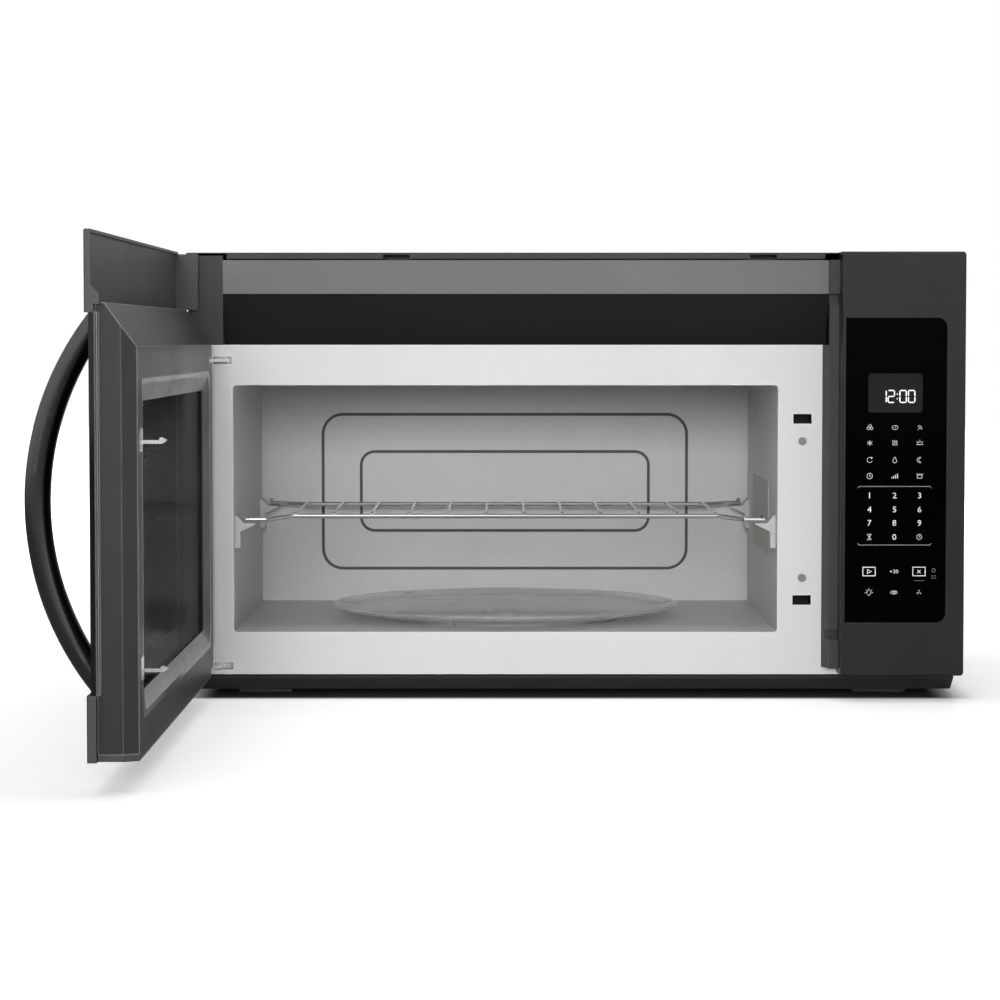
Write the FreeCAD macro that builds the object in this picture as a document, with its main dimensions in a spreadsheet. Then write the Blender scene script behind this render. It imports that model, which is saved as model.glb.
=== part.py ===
"""Over-the-range microwave oven with its door standing open.

Frame, in millimetres: X runs to the right as one faces the oven, Y runs back to the wall and
Z runs up.  The origin is on the flat underside, on the centre line and halfway back.

Every length below is driven by the sheet of sizes.  A Size carries its number and the
formula that ties it to the sheet, so that a sketch or a feature is bound to the same
arithmetic that places it.  The door's pieces are drawn shut, then swung open about the
hinge by their Placement.
"""
import FreeCAD, Part
import math
import os
import types

import Sketcher

# ---------------------------------------------------------------- driving dimensions
SIZES = {
    # cabinet
    "body_width": 759.5,
    "body_depth": 385.0,
    "body_height": 436.0,
    "case_sheet": 1.0,
    "case_setback": 2.0,
    "case_foot": 20.0,
    "back_sheet": 1.0,
    "base_sheet": 1.0,
    "base_setback": 25.0,
    "base_lip_top": 15.8,
    "base_lip_low": 13.3,
    "base_slope_run": 21.5,
    "base_step": 6.0,
    # oven front and cavity
    "frame_foot": 20.0,
    "frame_height": 325.5,
    "frame_sheet": 2.0,
    "frame_inset": 2.0,
    "frame_shelf": 31.0,
    "wiring_low": 140.0,
    "wiring_high": 260.0,
    "opening_inset": 43.95,
    "opening_width": 536.9,
    "opening_height": 243.7,
    "opening_rise": 41.9,
    "opening_corner": 3.5,
    "cavity_lip": 0.8,
    "cavity_depth": 371.0,
    "cavity_sheet": 1.0,
    "emboss_depth": 2.4,
    "emboss_width": 3.2,
    "track_radius": 128.0,
    "track_drop": 7.0,
    "track_flange": 8.0,
    # heights over the oven, as shares of the way from the frame's top to the cabinet's
    "outlet_low": 0.5536,
    "choke_top": 0.376796,
    "glass_high": 0.290608,
    # heights over the oven, measured down from the cabinet's top
    "outlet_high": 7.5,
    "post_height": 3.0,
    # air outlet above the oven
    "outlet_inset": 34.6,
    "outlet_sheet": 1.0,
    "ramp_run": 30.0,
    "rail_height": 3.4,
    "rail_depth": 24.0,
    # control side
    "panel_width": 120.05,
    "panel_depth": 40.2,
    "panel_foot": 22.7,
    "panel_face": 2.5,
    "panel_wall": 2.0,
    "panel_corner": 3.5,
    "panel_glass_edge": 3.6,
    "panel_glass_width": 98.3,
    "panel_glass_corner": 9.0,
    "panel_glass_thick": 2.0,
    "glass_low": 75.1,
    "jamb_width": 9.1,
    "jamb_slant": 5.8,
    "jamb_depth": 12.0,
    "jamb_low_depth": 19.0,
    "jamb_high_depth": 17.0,
    "jamb_gap": 9.0,
    "display_width": 53.0,
    "display_height": 38.0,
    "display_rise": 298.8,
    "display_shift": 51.8,
    # door
    "door_gap": 2.5,
    "door_clearance": 1.0,
    "band_face": 2.5,
    "band_edge": 5.0,
    "band_return": 24.3,
    "band_wrap": 1.2,
    "band_lip": 5.2,
    "glass_recess": 3.2,
    "glass_thick": 4.0,
    "choke_sheet": 2.0,
    "choke_inset": 20.2,
    "choke_gap": 1.0,
    "choke_back": 14.7,
    "choke_flange": 2.5,
    "choke_flange_reach": 5.0,
    "window_left_inset": 43.75,
    "window_width": 552.0,
    "window_low": 53.0,
    "window_height": 267.0,
    "trim_depth": 6.0,
    "trim_width": 18.0,
    "trim_slope": 14.0,
    "window_corner": 7.0,
    "window_thick": 3.0,
    "screen_thick": 0.6,
    # hinge and latch
    "pivot_inset": 8.25,
    "pivot_reach": 19.0,
    "hinge_pin": 3.0,
    "hinge_fit": 0.05,
    "hinge_plate": 2.5,
    "hinge_eye": 5.5,
    "ear_thick": 4.0,
    "ear_gap": 0.5,
    "ear_radius": 6.0,
    "ear_tab": 40.0,
    "hinge_low": 26.8,
    "hinge_high": 328.9,
    "arm_width": 12.4,
    "arm_inset": 27.5,
    "hinge_slot_width": 19.2,
    "hinge_slot_height": 7.6,
    "latch_column": 605.15,
    "latch_low": 93.5,
    "latch_spacing": 179.1,
    "latch_reach": 21.0,
    "latch_thick": 3.4,
    "latch_slot_width": 18.2,
    "latch_slot_height": 9.6,
    "latch_travel": 2.0,
    # handle; its outer arc is longer than the door glass by its length, its inner arc shorter
    "handle_column": 38.0,
    "handle_reach": 55.6,
    "handle_length": 11.3,
    "handle_inner_length": 53.7,
    "handle_inner_reach": 35.8,
    "handle_width": 25.0,
    "handle_round": 9.4,
    "handle_foot_gap": 0.3,
    # turntable
    "coupler_radius": 14.0,
    "coupler_arm": 30.0,
    "coupler_arm_width": 8.0,
    "coupler_arms": 3,
    "shaft_radius": 4.0,
    "shaft_fit": 0.05,
    "ring_radius": 104.0,
    "ring_width": 7.0,
    "ring_thick": 4.0,
    "axle_radius": 2.0,
    "axle_fit": 0.05,
    "roller_radius": 6.0,
    "roller_width": 6.0,
    "roller_count": 3,
    "roller_gap": 0.3,
    "tray_radius": 180.0,
    "tray_thick": 5.0,
    "tray_rise": 9.0,
    "lug_radius": 24.0,
    "lug_size": 4.0,
    "lug_height": 4.0,
    # rack
    "rack_height": 109.3,
    "rail_wire": 2.4,
    "cross_wire": 1.3,
    "cross_pitch": 39.0,
    "cross_count": 12,
    "rack_front": 106.5,
    "rack_span": 224.5,
    "clip_front": 40.0,
    "clip_span": 312.0,
    "clip_thick": 5.0,
    "clip_arm": 15.0,
    "clip_length": 22.0,
    "clip_height": 32.5,
    "rack_gap": 0.3,
    # underside
    "filter_length": 190.0,
    "filter_width": 150.0,
    "filter_thick": 6.0,
    "filter_rim": 8.0,
    "filter_offset": 175.0,
    "lens_offset": 70.75,
    "lens_width": 60.0,
    "lens_depth": 50.0,
    "lens_drop": 4.0,
    # air moving
    "wheel_radius": 46.0,
    "wheel_width": 78.0,
    "wheel_blades": 20,
    "rotor_shaft": 4.0,
    "motor_radius": 40.0,
    "motor_length": 62.0,
    "blower_wall": 2.0,
    "blower_gap": 5.0,
    "fan_radius": 52.0,
    "fan_blades": 5,
    "fan_wall": 2.0,
    # small features of the cabinet; the bolts and lenses are placed in from its sides
    "cabinet_bolt_x": 36.75,
    "cabinet_bolt_back": 60,
    "cabinet_bolt_hole": 3.5,
    "gland_inset": 60,
    "gland_back": 40,
    "gland_barrel": 9,
    "gland_play": 0.2,
    "gland_bore": 5,
    "gland_length": 16,
    "gland_flange": 13,
    "gland_flange_thick": 2.5,
    "wall_hook_x": 250,
    "wall_hook_width": 30,
    "wall_hook_z": 30,
    "wall_hook_height": 7,
    "side_flange_top": 60,
    "filter_back": 250,
    "filter_recess": 1.5,
    "lens_back": 75,
    "lens_seat": 3,
    "lens_flange": 2,
    "lens_play": 0.4,
    "lens_round": 2.5,
    "lens_wall": 1.2,
    "rail_face_drop": 1.6,
    "rail_end_gap": 3.5,
    "rail_setback": 1.5,
    "rail_slot": 26,
    "rail_slot_left": 154,
    "rail_slot_right": 515,
    # interlock behind the latch slots
    "interlock_screw_low": 115.5,
    "interlock_screw_high": 250.5,
    "interlock_depth": 30,
    "interlock_margin": 14,
    "interlock_half": 12.5,
    "interlock_wall": 2.5,
    "screw_shank": 2,
    "screw_play": 0.2,
    "screw_head": 4,
    "screw_head_thick": 1,
    # controls
    "panel_edge_round": 1,
    "board_setback": 15,
    "board_margin": 8,
    "board_thick": 1.6,
    "board_boss": 3.5,
    "board_boss_inset": 6,
    "relay_count": 4,
    "relay_start": 30,
    "relay_pitch": 34,
    "relay_height": 12,
    "relay_inset": 14,
    "relay_width": 14,
    "relay_length": 24,
    "jamb_foot": 4.6,
    "jamb_low_height": 28.5,
    "jamb_upper_gap": 10,
    "jamb_floor": 5,
    # cavity details
    "emboss_side": 201.6,
    "emboss_low": 96.8,
    "emboss_high": 267.8,
    "emboss_corner": 22,
    "emboss_inner_side": 159.3,
    "emboss_inner_low": 138.8,
    "emboss_inner_high": 226.5,
    "emboss_inner_corner": 15,
    "shaft_hole": 7,
    "lamp_back": 271.5,
    "lamp_z": 280.3,
    "lamp_pitch": 9,
    "lamp_hole": 2.5,
    "port_start": 110,
    "port_length": 175,
    "port_low": 136,
    "port_height": 64,
    "cover_margin": 5,
    "cover_thick": 0.8,
    "guide_depth": 38,
    "guide_wall": 1.5,
    "magnetron_width": 82,
    "magnetron_height": 92,
    "magnetron_length": 76,
    "magnetron_core": 20,
    "fin_count": 5,
    "fin_thick": 1.2,
    "fin_inset": 8,
    "filter_box": 24,
    "lamp_housing": 44,
    "lamp_depth": 30,
    "bulb_gap": 6,
    "bulb_radius": 9,
    # rack details
    "clip_rise": 5.1,
    "clip_arm_root": 8.5,
    "clip_arm_tip": 2.5,
    "clip_cradle": 3.5,
    "clip_top_flat": 1.5,
    "clip_nose_run": 5,
    "clip_nose_drop": 3.5,
    "rack_end": 3.4,
    "rack_wall_gap": 4.6,
    "rack_shoulder": 20,
    "cross_weld": 0.5,
    "cross_overhang": 0.3,
    "rack_tip": 5.5,
    "rack_tip_radius": 2.1,
    # turntable details
    "turn_motor_height": 18,
    "turn_motor_radius": 25,
    "turn_motor_ear": 1.5,
    "turn_motor_span": 34,
    "turn_motor_half": 7,
    "shaft_depth": 12,
    "shaft_end_gap": 1,
    "coupler_rise": 1,
    "rim_width": 26,
    "rim_lip": 4,
    "rim_edge": 1.2,
    "roller_play": 0.4,
    "axle_head": 3.2,
    "axle_head_thick": 1.2,
    # electrical parts, placed across from the controls' left edge
    "transformer_x": 52.3,
    "transformer_y": -50,
    "core_width": 96,
    "core_depth": 58,
    "core_height": 80,
    "core_leg": 15,
    "core_foot": 2,
    "core_foot_reach": 12,
    "winding_bulge": 17,
    "winding_round": 8,
    "capacitor_x": 85.3,
    "capacitor_y": 40,
    "capacitor_radius": 24,
    "capacitor_height": 92,
    "blade_thick": 0.8,
    "blade_width": 6.3,
    "blade_height": 8,
    "blade_sink": 1,
    "blade_spread": 10,
    "fan_x": 30.3,
    "fan_y": 155,
    "fan_z": 130,
    "fan_margin": 10,
    "fan_tip_gap": 3,
    "fan_ring_depth": 18,
    "fan_bar": 4,
    "fan_motor": 18,
    "fan_motor_length": 22,
    "fan_shaft": 2.5,
    "fan_shaft_length": 22,
    "fan_hub": 12,
    "fan_hub_length": 14,
    "fan_pitch": 6,
    "fan_blade_thick": 1.8,
    "fan_blade_half": 13,
    "blower_inlet": 32,
    "blower_cutoff": 10,
    "motor_play": 0.2,
    "shaft_passage": 6,
    "wheel_hub": 9,
    "wheel_hub_length": 20,
    "wheel_blade_thick": 1.5,
    "wheel_blade_depth": 9,
    "wheel_rim": 3,
    # hinge and latch details
    "arm_tail": 12,
    "arm_knee": 0.5,
    "arm_elbow": 4.5,
    "arm_flange": 6,
    "arm_lean_x": 0.555,
    "arm_lean_y": 0.832,
    "pin_length_low": 9,
    "pin_length_high": 5,
    "notch_depth": 1.5,
    "notch_length": 23,
    "notch_play": 1.5,
    "latch_play": 0.4,
    "latch_bar_depth": 12,
    "latch_bar_end": 12,
    "hook_low": 3,
    "hook_shelf": 0.2,
    "hook_high": 1.8,
    "hook_nose": 4,
    "hook_barb": 2,
    "band_round": 1.5,
    "band_tab_start": 13,
    "band_tab_end": 4,
    "band_tab_drop": 2,
    "band_tab_lip": 0.5,
    "flange_low_depth": 11.6,
    "flange_step": 6.8,
    "flange_slope": 6.3,
    "frame_round": 1,
    "latch_plate": 8.5,
    "latch_plate_high": 9.3,
    "latch_plate_gap": 0.1,
    "latch_plate_thick": 0.6,
    "glass_edge": 0.3,
    "trim_land": 1,
}

ORIGIN = -1      # a sketch's own origin, in its list of geometry
START, END, CENTRE = range(1, 4)

os.makedirs("parts", exist_ok=True)
document = FreeCAD.newDocument("Microwave")
sheet = document.addObject("Spreadsheet::Sheet", "Sizes")
for row, (alias, number) in enumerate(SIZES.items(), 1):
    sheet.set(f"A{row}", alias)
    sheet.set(f"B{row}", str(number))
    sheet.setAlias(f"B{row}", alias)
document.recompute()


# ---------------------------------------------------------------- sizes with a formula
class Size:
    """A number together with the formula that ties it to the sheet."""

    def __init__(self, number, formula):
        self.number = number
        self.formula = formula

    def join(self, sign, other, number):
        """A new Size that joins this one's formula with another's."""
        return Size(number, f"({self.formula} {sign} {sized(other).formula})")

    def __add__(self, other):
        return self.join("+", other, self.number + sized(other).number)

    def __sub__(self, other):
        return self.join("-", other, self.number - sized(other).number)

    def __mul__(self, other):
        return self.join("*", other, self.number * sized(other).number)

    def __truediv__(self, other):
        return self.join("/", other, self.number / sized(other).number)

    def __radd__(self, other):
        return sized(other) + self

    def __rsub__(self, other):
        return sized(other) - self

    def __rmul__(self, other):
        return sized(other) * self

    def __neg__(self):
        return sized(0) - self


def sized(value):
    """A plain number as a Size; a Size as it is."""
    return value if isinstance(value, Size) else Size(float(value), repr(float(value)))


def bind(item, attribute, value):
    """Ties one property, or one constraint, of an object to the sheet."""
    item.setExpression(attribute, sized(value).formula)


S = types.SimpleNamespace(
    **{alias: Size(float(getattr(sheet, alias)), f"Sizes.{alias}") for alias in SIZES})

# planes and edges that several pieces share
RIGHT = S.body_width / 2
LEFT = -RIGHT
BACK = S.body_depth / 2
FRONT = -BACK
TOP = S.body_height
FRAME_TOP = S.frame_foot + S.frame_height
FRAME_LEFT = LEFT + S.frame_inset
FRAME_RIGHT = RIGHT - S.frame_inset
OPENING_LEFT = LEFT + S.opening_inset
OPENING_RIGHT = OPENING_LEFT + S.opening_width
OPENING_LOW = S.frame_foot + S.opening_rise
OPENING_TOP = OPENING_LOW + S.opening_height
CAVITY_LEFT = OPENING_LEFT - S.cavity_lip
CAVITY_RIGHT = OPENING_RIGHT + S.cavity_lip
CAVITY_FLOOR = OPENING_LOW - S.cavity_lip
CAVITY_TOP = OPENING_TOP + S.cavity_lip
CAVITY_FRONT = FRONT + S.frame_sheet
CAVITY_BACK = FRONT + S.cavity_depth
OVEN_X = (CAVITY_LEFT + CAVITY_RIGHT) / 2
OVEN_Y = (CAVITY_FRONT + CAVITY_BACK) / 2
PANEL_LEFT = RIGHT - S.panel_width
PANEL_FRONT = FRONT - S.panel_depth
JAMB_LEFT = PANEL_LEFT - S.jamb_width
OUTLET_LEFT = LEFT + S.outlet_inset
OUTLET_LOW = FRAME_TOP + (TOP - FRAME_TOP) * S.outlet_low
OUTLET_HIGH = TOP - S.outlet_high
CHOKE_TOP = FRAME_TOP + (TOP - FRAME_TOP) * S.choke_top
GLASS_HIGH = FRAME_TOP + (TOP - FRAME_TOP) * S.glass_high
DOOR_RIGHT = PANEL_LEFT - S.door_gap
GLASS_FRONT = PANEL_FRONT + S.glass_recess
GLASS_BACK = GLASS_FRONT + S.glass_thick
DOOR_BACK = FRONT - S.door_clearance
PIVOT_X = LEFT + S.pivot_inset
PIVOT_Y = FRONT - S.pivot_reach
CHOKE_LEFT = LEFT + S.choke_inset
CHOKE_RIGHT = JAMB_LEFT - S.choke_gap
WINDOW_LEFT = LEFT + S.window_left_inset
WINDOW_RIGHT = WINDOW_LEFT + S.window_width
WINDOW_TOP = S.window_low + S.window_height
LATCH_X = LEFT + S.latch_column
TRACK_FLOOR = CAVITY_FLOOR - S.track_drop
ROLLER_Z = TRACK_FLOOR + S.roller_gap + S.roller_radius
TRAY_Z = ROLLER_Z + S.roller_radius + S.roller_gap

# places that more than one piece uses
GLAND_X = RIGHT - S.gland_inset
GLAND_Y = BACK - S.gland_back
FILTER_Y = FRONT + S.filter_back
LENS_X = RIGHT - S.lens_offset
LENS_Y = FRONT + S.lens_back
BOLT_X = RIGHT - S.cabinet_bolt_x
DISPLAY_X = PANEL_LEFT + S.display_shift
TRANSFORMER_X = PANEL_LEFT + S.transformer_x
CAPACITOR_X = PANEL_LEFT + S.capacitor_x
FAN_X = PANEL_LEFT + S.fan_x
BOARD_FRONT = FRONT - S.board_setback
PORT_FRONT = FRONT + S.port_start
PORT_BACK = PORT_FRONT + S.port_length
PORT_HIGH = S.port_low + S.port_height
RACK_Z = CAVITY_FLOOR + S.rack_height


# ---------------------------------------------------------------- sketches and features
def add_line(sketch, start, end):
    """A straight edge between two (x, y) pairs of Sizes."""
    points = [FreeCAD.Vector(sized(x).number, sized(y).number, 0) for x, y in (start, end)]
    return sketch.addGeometry(Part.LineSegment(*points), False)


def hold(sketch, kind, *target, value):
    """A driving constraint whose datum follows the sheet."""
    index = sketch.addConstraint(Sketcher.Constraint(kind, *target, sized(value).number))
    bind(sketch, f"Constraints[{index}]", value)


def hold_point(sketch, edge, end, x, y):
    """Ties one point of an edge to its place, measured from the sketch's origin."""
    hold(sketch, "DistanceX", ORIGIN, START, edge, end, value=x)
    hold(sketch, "DistanceY", ORIGIN, START, edge, end, value=y)


def polygon(*corners):
    """A closed outline of straight edges through the corners."""
    def draw(sketch):
        edges = [add_line(sketch, corner, corners[(place + 1) % len(corners)])
                 for place, corner in enumerate(corners)]
        for place, edge in enumerate(edges):
            following = edges[(place + 1) % len(edges)]
            sketch.addConstraint(Sketcher.Constraint("Coincident", edge, END, following, START))
            hold_point(sketch, edge, START, *corners[place])
    return draw


def rectangle(left, low, right, high):
    """A closed outline with four square corners."""
    return polygon((left, low), (right, low), (right, high), (left, high))


def circle(x, y, radius):
    """A round outline."""
    def draw(sketch):
        middle = FreeCAD.Vector(sized(x).number, sized(y).number, 0)
        upward = FreeCAD.Vector(0, 0, 1)
        edge = sketch.addGeometry(Part.Circle(middle, upward, sized(radius).number), False)
        hold_point(sketch, edge, CENTRE, x, y)
        hold(sketch, "Radius", edge, value=radius)
    return draw


def rounded(left, low, right, high, radius):
    """A rectangle whose four corners are arcs."""
    def draw(sketch):
        left_in, right_in = left + radius, right - radius
        low_in, high_in = low + radius, high - radius
        sides = [add_line(sketch, (left_in, low), (right_in, low)),
                 add_line(sketch, (right, low_in), (right, high_in)),
                 add_line(sketch, (right_in, high), (left_in, high)),
                 add_line(sketch, (left, high_in), (left, low_in))]
        centres = [(right_in, low_in), (right_in, high_in), (left_in, high_in), (left_in, low_in)]
        upward = FreeCAD.Vector(0, 0, 1)
        for place, (x, y) in enumerate(centres):
            round_edge = Part.Circle(
                FreeCAD.Vector(sized(x).number, sized(y).number, 0), upward, sized(radius).number)
            turn = math.radians(90 * place - 90)
            arc = sketch.addGeometry(
                Part.ArcOfCircle(round_edge, turn, turn + math.radians(90)), False)
            following = sides[(place + 1) % 4]
            sketch.addConstraint(Sketcher.Constraint("Tangent", sides[place], END, arc, START))
            sketch.addConstraint(Sketcher.Constraint("Tangent", arc, END, following, START))
            hold_point(sketch, arc, CENTRE, x, y)
            if place == 0:
                hold(sketch, "Radius", arc, value=radius)
    return draw


def new_body(name):
    """An empty body whose Label names the sub-part."""
    body = document.addObject("PartDesign::Body", name)
    body.Label = name
    return body


def sketch_on(body, plane, height, *outlines):
    """A sketch parallel to one of the body's own planes, at a height above it."""
    support = next(item for item in body.Origin.OriginFeatures if item.Role == plane + "_Plane")
    sketch = body.newObject("Sketcher::SketchObject", body.Label + "_outline")
    sketch.AttachmentSupport = (support, [""])
    sketch.MapMode = "FlatFace"
    bind(sketch, "AttachmentOffset.Base.z", height)
    for outline in outlines:
        outline(sketch)
    return sketch


def pad(body, plane, low, high, *outlines):
    """Adds the outlines' area between two heights along the axis square to the plane."""
    height = -sized(high) if plane == "XZ" else low
    sketch = sketch_on(body, plane, height, *outlines)
    feature = body.newObject("PartDesign::Pad", body.Label + "_pad")
    feature.Profile = (sketch, [""])
    bind(feature, "Length", sized(high) - low)
    return feature


pockets = []


def pocket(body, plane, low, high, *outlines):
    """Removes the outlines' area between two heights along the axis square to the plane."""
    height = -sized(low) if plane == "XZ" else high
    sketch = sketch_on(body, plane, height, *outlines)
    feature = body.newObject("PartDesign::Pocket", body.Label + "_pocket")
    feature.Profile = (sketch, [""])
    bind(feature, "Length", sized(high) - low)
    pockets.append(feature)
    return feature


def revolve(body, plane, axis, *outlines):
    """Turns the outlines a full circle about the sketch's own axis, H_Axis or V_Axis."""
    sketch = sketch_on(body, plane, 0, *outlines)
    feature = body.newObject("PartDesign::Revolution", body.Label + "_turn")
    feature.Profile = (sketch, [""])
    feature.ReferenceAxis = (sketch, [axis])
    feature.Angle = 360
    return feature


def repeat_round(body, feature, count, axis="Z"):
    """Repeats a feature evenly about one of the body's own axes."""
    pattern = body.newObject("PartDesign::PolarPattern", body.Label + "_round")
    pattern.Originals = [feature]
    role = axis + "_Axis"
    pattern.Axis = (next(item for item in body.Origin.OriginFeatures if item.Role == role), [""])
    pattern.Angle = 360
    bind(pattern, "Occurrences", count)
    body.Tip = pattern
    return pattern


def repeat_along(body, feature, axis, length, count):
    """Repeats a feature evenly along one of the body's own axes."""
    pattern = body.newObject("PartDesign::LinearPattern", body.Label + "_row")
    pattern.Originals = [feature]
    role = axis + "_Axis"
    pattern.Direction = (
        next(item for item in body.Origin.OriginFeatures if item.Role == role), [""])
    bind(pattern, "Length", length)
    bind(pattern, "Occurrences", count)
    body.Tip = pattern
    return pattern


def dress(body, kind, amount, chosen):
    """Rounds or bevels the edges of the body so far that the test picks out."""
    document.recompute()
    base = body.Tip
    names = [f"Edge{place}" for place, edge in enumerate(base.Shape.Edges, 1) if chosen(edge)]
    feature = body.newObject("PartDesign::" + kind, body.Label + "_" + kind.lower())
    feature.Base = (base, names)
    bind(feature, "Radius" if kind == "Fillet" else "Size", amount)
    return feature


def at(value, measured):
    """Whether a measured coordinate lies on a named plane."""
    return abs(sized(value).number - measured) < 0.01


def place(body, x=0, y=0, z=0, turn=None):
    """Moves a body, drawn about its own origin, to its place; turn is about Z, in degrees."""
    bind(body, "Placement.Base.x", x)
    bind(body, "Placement.Base.y", y)
    bind(body, "Placement.Base.z", z)
    if turn is not None:
        body.Placement.Rotation = FreeCAD.Rotation(FreeCAD.Vector(0, 0, 1), 0)
        bind(body, "Placement.Rotation.Angle", turn)
    return body


def swing_open(body):
    """Turns a door piece, drawn shut, a quarter turn about the hinge to stand open."""
    body.Placement = FreeCAD.Placement(
        FreeCAD.Vector(0, 0, 0), FreeCAD.Rotation(FreeCAD.Vector(0, 0, 1), -90))
    bind(body, "Placement.Base.x", PIVOT_X - PIVOT_Y)
    bind(body, "Placement.Base.y", PIVOT_Y + PIVOT_X)
    return body


# ---------------------------------------------------------------- cabinet
def outer_case():
    """The wrapper: top and both sides bent from one sheet, with its cabinet bolt holes."""
    body = new_body("outer_case")
    inner_left, inner_right = LEFT + S.case_sheet, RIGHT - S.case_sheet
    inner_top = TOP - S.case_sheet
    front = FRONT + S.case_setback
    pad(body, "XZ", front, BACK,
        polygon((LEFT, S.case_foot), (inner_left, S.case_foot), (inner_left, inner_top),
                (inner_right, inner_top), (inner_right, S.case_foot), (RIGHT, S.case_foot),
                (RIGHT, TOP), (LEFT, TOP)))
    holes = [circle(side * BOLT_X, FRONT + S.cabinet_bolt_back, S.cabinet_bolt_hole)
             for side in (-1, 1)]
    pocket(body, "XY", inner_top, TOP, *holes, circle(GLAND_X, GLAND_Y, S.gland_barrel))
    return body


def back_plate():
    """The flat back, with two slots that drop over the wall plate's hooks."""
    body = new_body("back_plate")
    low, high = S.base_sheet, TOP - S.case_sheet
    left, right = LEFT + S.case_sheet, RIGHT - S.case_sheet
    pad(body, "XZ", BACK - S.back_sheet, BACK, rectangle(left, low, right, high))
    slots = [rectangle(side * S.wall_hook_x - S.wall_hook_width / 2, S.wall_hook_z,
                       side * S.wall_hook_x + S.wall_hook_width / 2, S.wall_hook_z + S.wall_hook_height)
             for side in (-1, 1)]
    pocket(body, "XZ", BACK - S.back_sheet, BACK, *slots)
    return body


def base_pan():
    """The underside: a flat floor that slopes up to the front lip, open at filters and lamps."""
    body = new_body("base_pan")
    lip_y = FRONT + S.base_setback
    flat_y = lip_y + S.base_slope_run
    step_y = lip_y + S.base_step
    back = BACK - S.back_sheet
    thick = S.base_sheet
    pad(body, "YZ", LEFT, RIGHT,
        polygon((lip_y, S.base_lip_low), (flat_y, 0), (BACK, 0), (BACK, thick),
                (flat_y + thick / 2, thick), (lip_y + thick, S.base_lip_low + thick / 2),
                (lip_y + thick, S.base_lip_top - thick), (step_y, S.base_lip_top - thick),
                (step_y, S.frame_foot), (step_y - thick, S.frame_foot),
                (step_y - thick, S.base_lip_top), (lip_y, S.base_lip_top)))
    for low, high in ((LEFT + S.case_sheet, LEFT + S.case_sheet + thick),
                      (RIGHT - S.case_sheet - thick, RIGHT - S.case_sheet)):
        pad(body, "YZ", low, high,
            polygon((lip_y + thick, S.base_lip_low + thick / 2), (flat_y + thick / 2, thick),
                    (back, thick), (back, S.side_flange_top), (lip_y + thick, S.side_flange_top)))
    for side in (-1, 1):
        middle = side * S.filter_offset
        half = S.filter_width / 2 - S.filter_rim
        reach = S.filter_length / 2 - S.filter_rim
        pocket(body, "XY", 0, thick,
               rectangle(middle - half, FILTER_Y - reach, middle + half, FILTER_Y + reach))
        middle = side * LENS_X
        half, reach = S.lens_width / 2 - S.lens_seat, S.lens_depth / 2 - S.lens_seat
        pocket(body, "XY", 0, thick,
               rectangle(middle - half, LENS_Y - reach, middle + half, LENS_Y + reach))
    return body


def grease_filter(side, name):
    """An aluminium mesh filter in its folded frame, lying over its hole in the base pan."""
    body = new_body(name)
    low = S.base_sheet
    half, reach = S.filter_width / 2, S.filter_length / 2
    pad(body, "XY", low, low + S.filter_thick, rectangle(-half, -reach, half, reach))
    inner, inner_reach = half - S.filter_rim, reach - S.filter_rim
    mesh_low, mesh_high = low + S.filter_recess, low + S.filter_thick - S.filter_recess
    for low_cut, high_cut in ((low, mesh_low), (mesh_high, low + S.filter_thick)):
        pocket(body, "XY", low_cut, high_cut,
               rectangle(-inner, -inner_reach, inner, inner_reach))
    return place(body, x=side * S.filter_offset, y=FILTER_Y)


def lamp_lens(side, name):
    """A cooktop lamp's clear cover: a flange inside the pan and a shallow bowl below it."""
    body = new_body(name)
    half, reach = S.lens_width / 2, S.lens_depth / 2
    pad(body, "XY", S.base_sheet, S.base_sheet + S.lens_flange,
        rectangle(-half - S.lens_seat, -reach - S.lens_seat, half + S.lens_seat, reach + S.lens_seat))
    bowl_half, bowl_reach = half - S.lens_seat - S.lens_play, reach - S.lens_seat - S.lens_play
    drop = -S.lens_drop
    pad(body, "XY", drop, S.base_sheet,
        rectangle(-bowl_half, -bowl_reach, bowl_half, bowl_reach))
    dress(body, "Fillet", S.lens_round,
          lambda edge: at(drop, edge.BoundBox.ZMax))
    wall = S.lens_wall
    pocket(body, "XY", drop + wall, S.base_sheet + S.lens_flange,
           rectangle(-bowl_half + wall, -bowl_reach + wall, bowl_half - wall, bowl_reach - wall))
    return place(body, x=side * LENS_X, y=LENS_Y)


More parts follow.
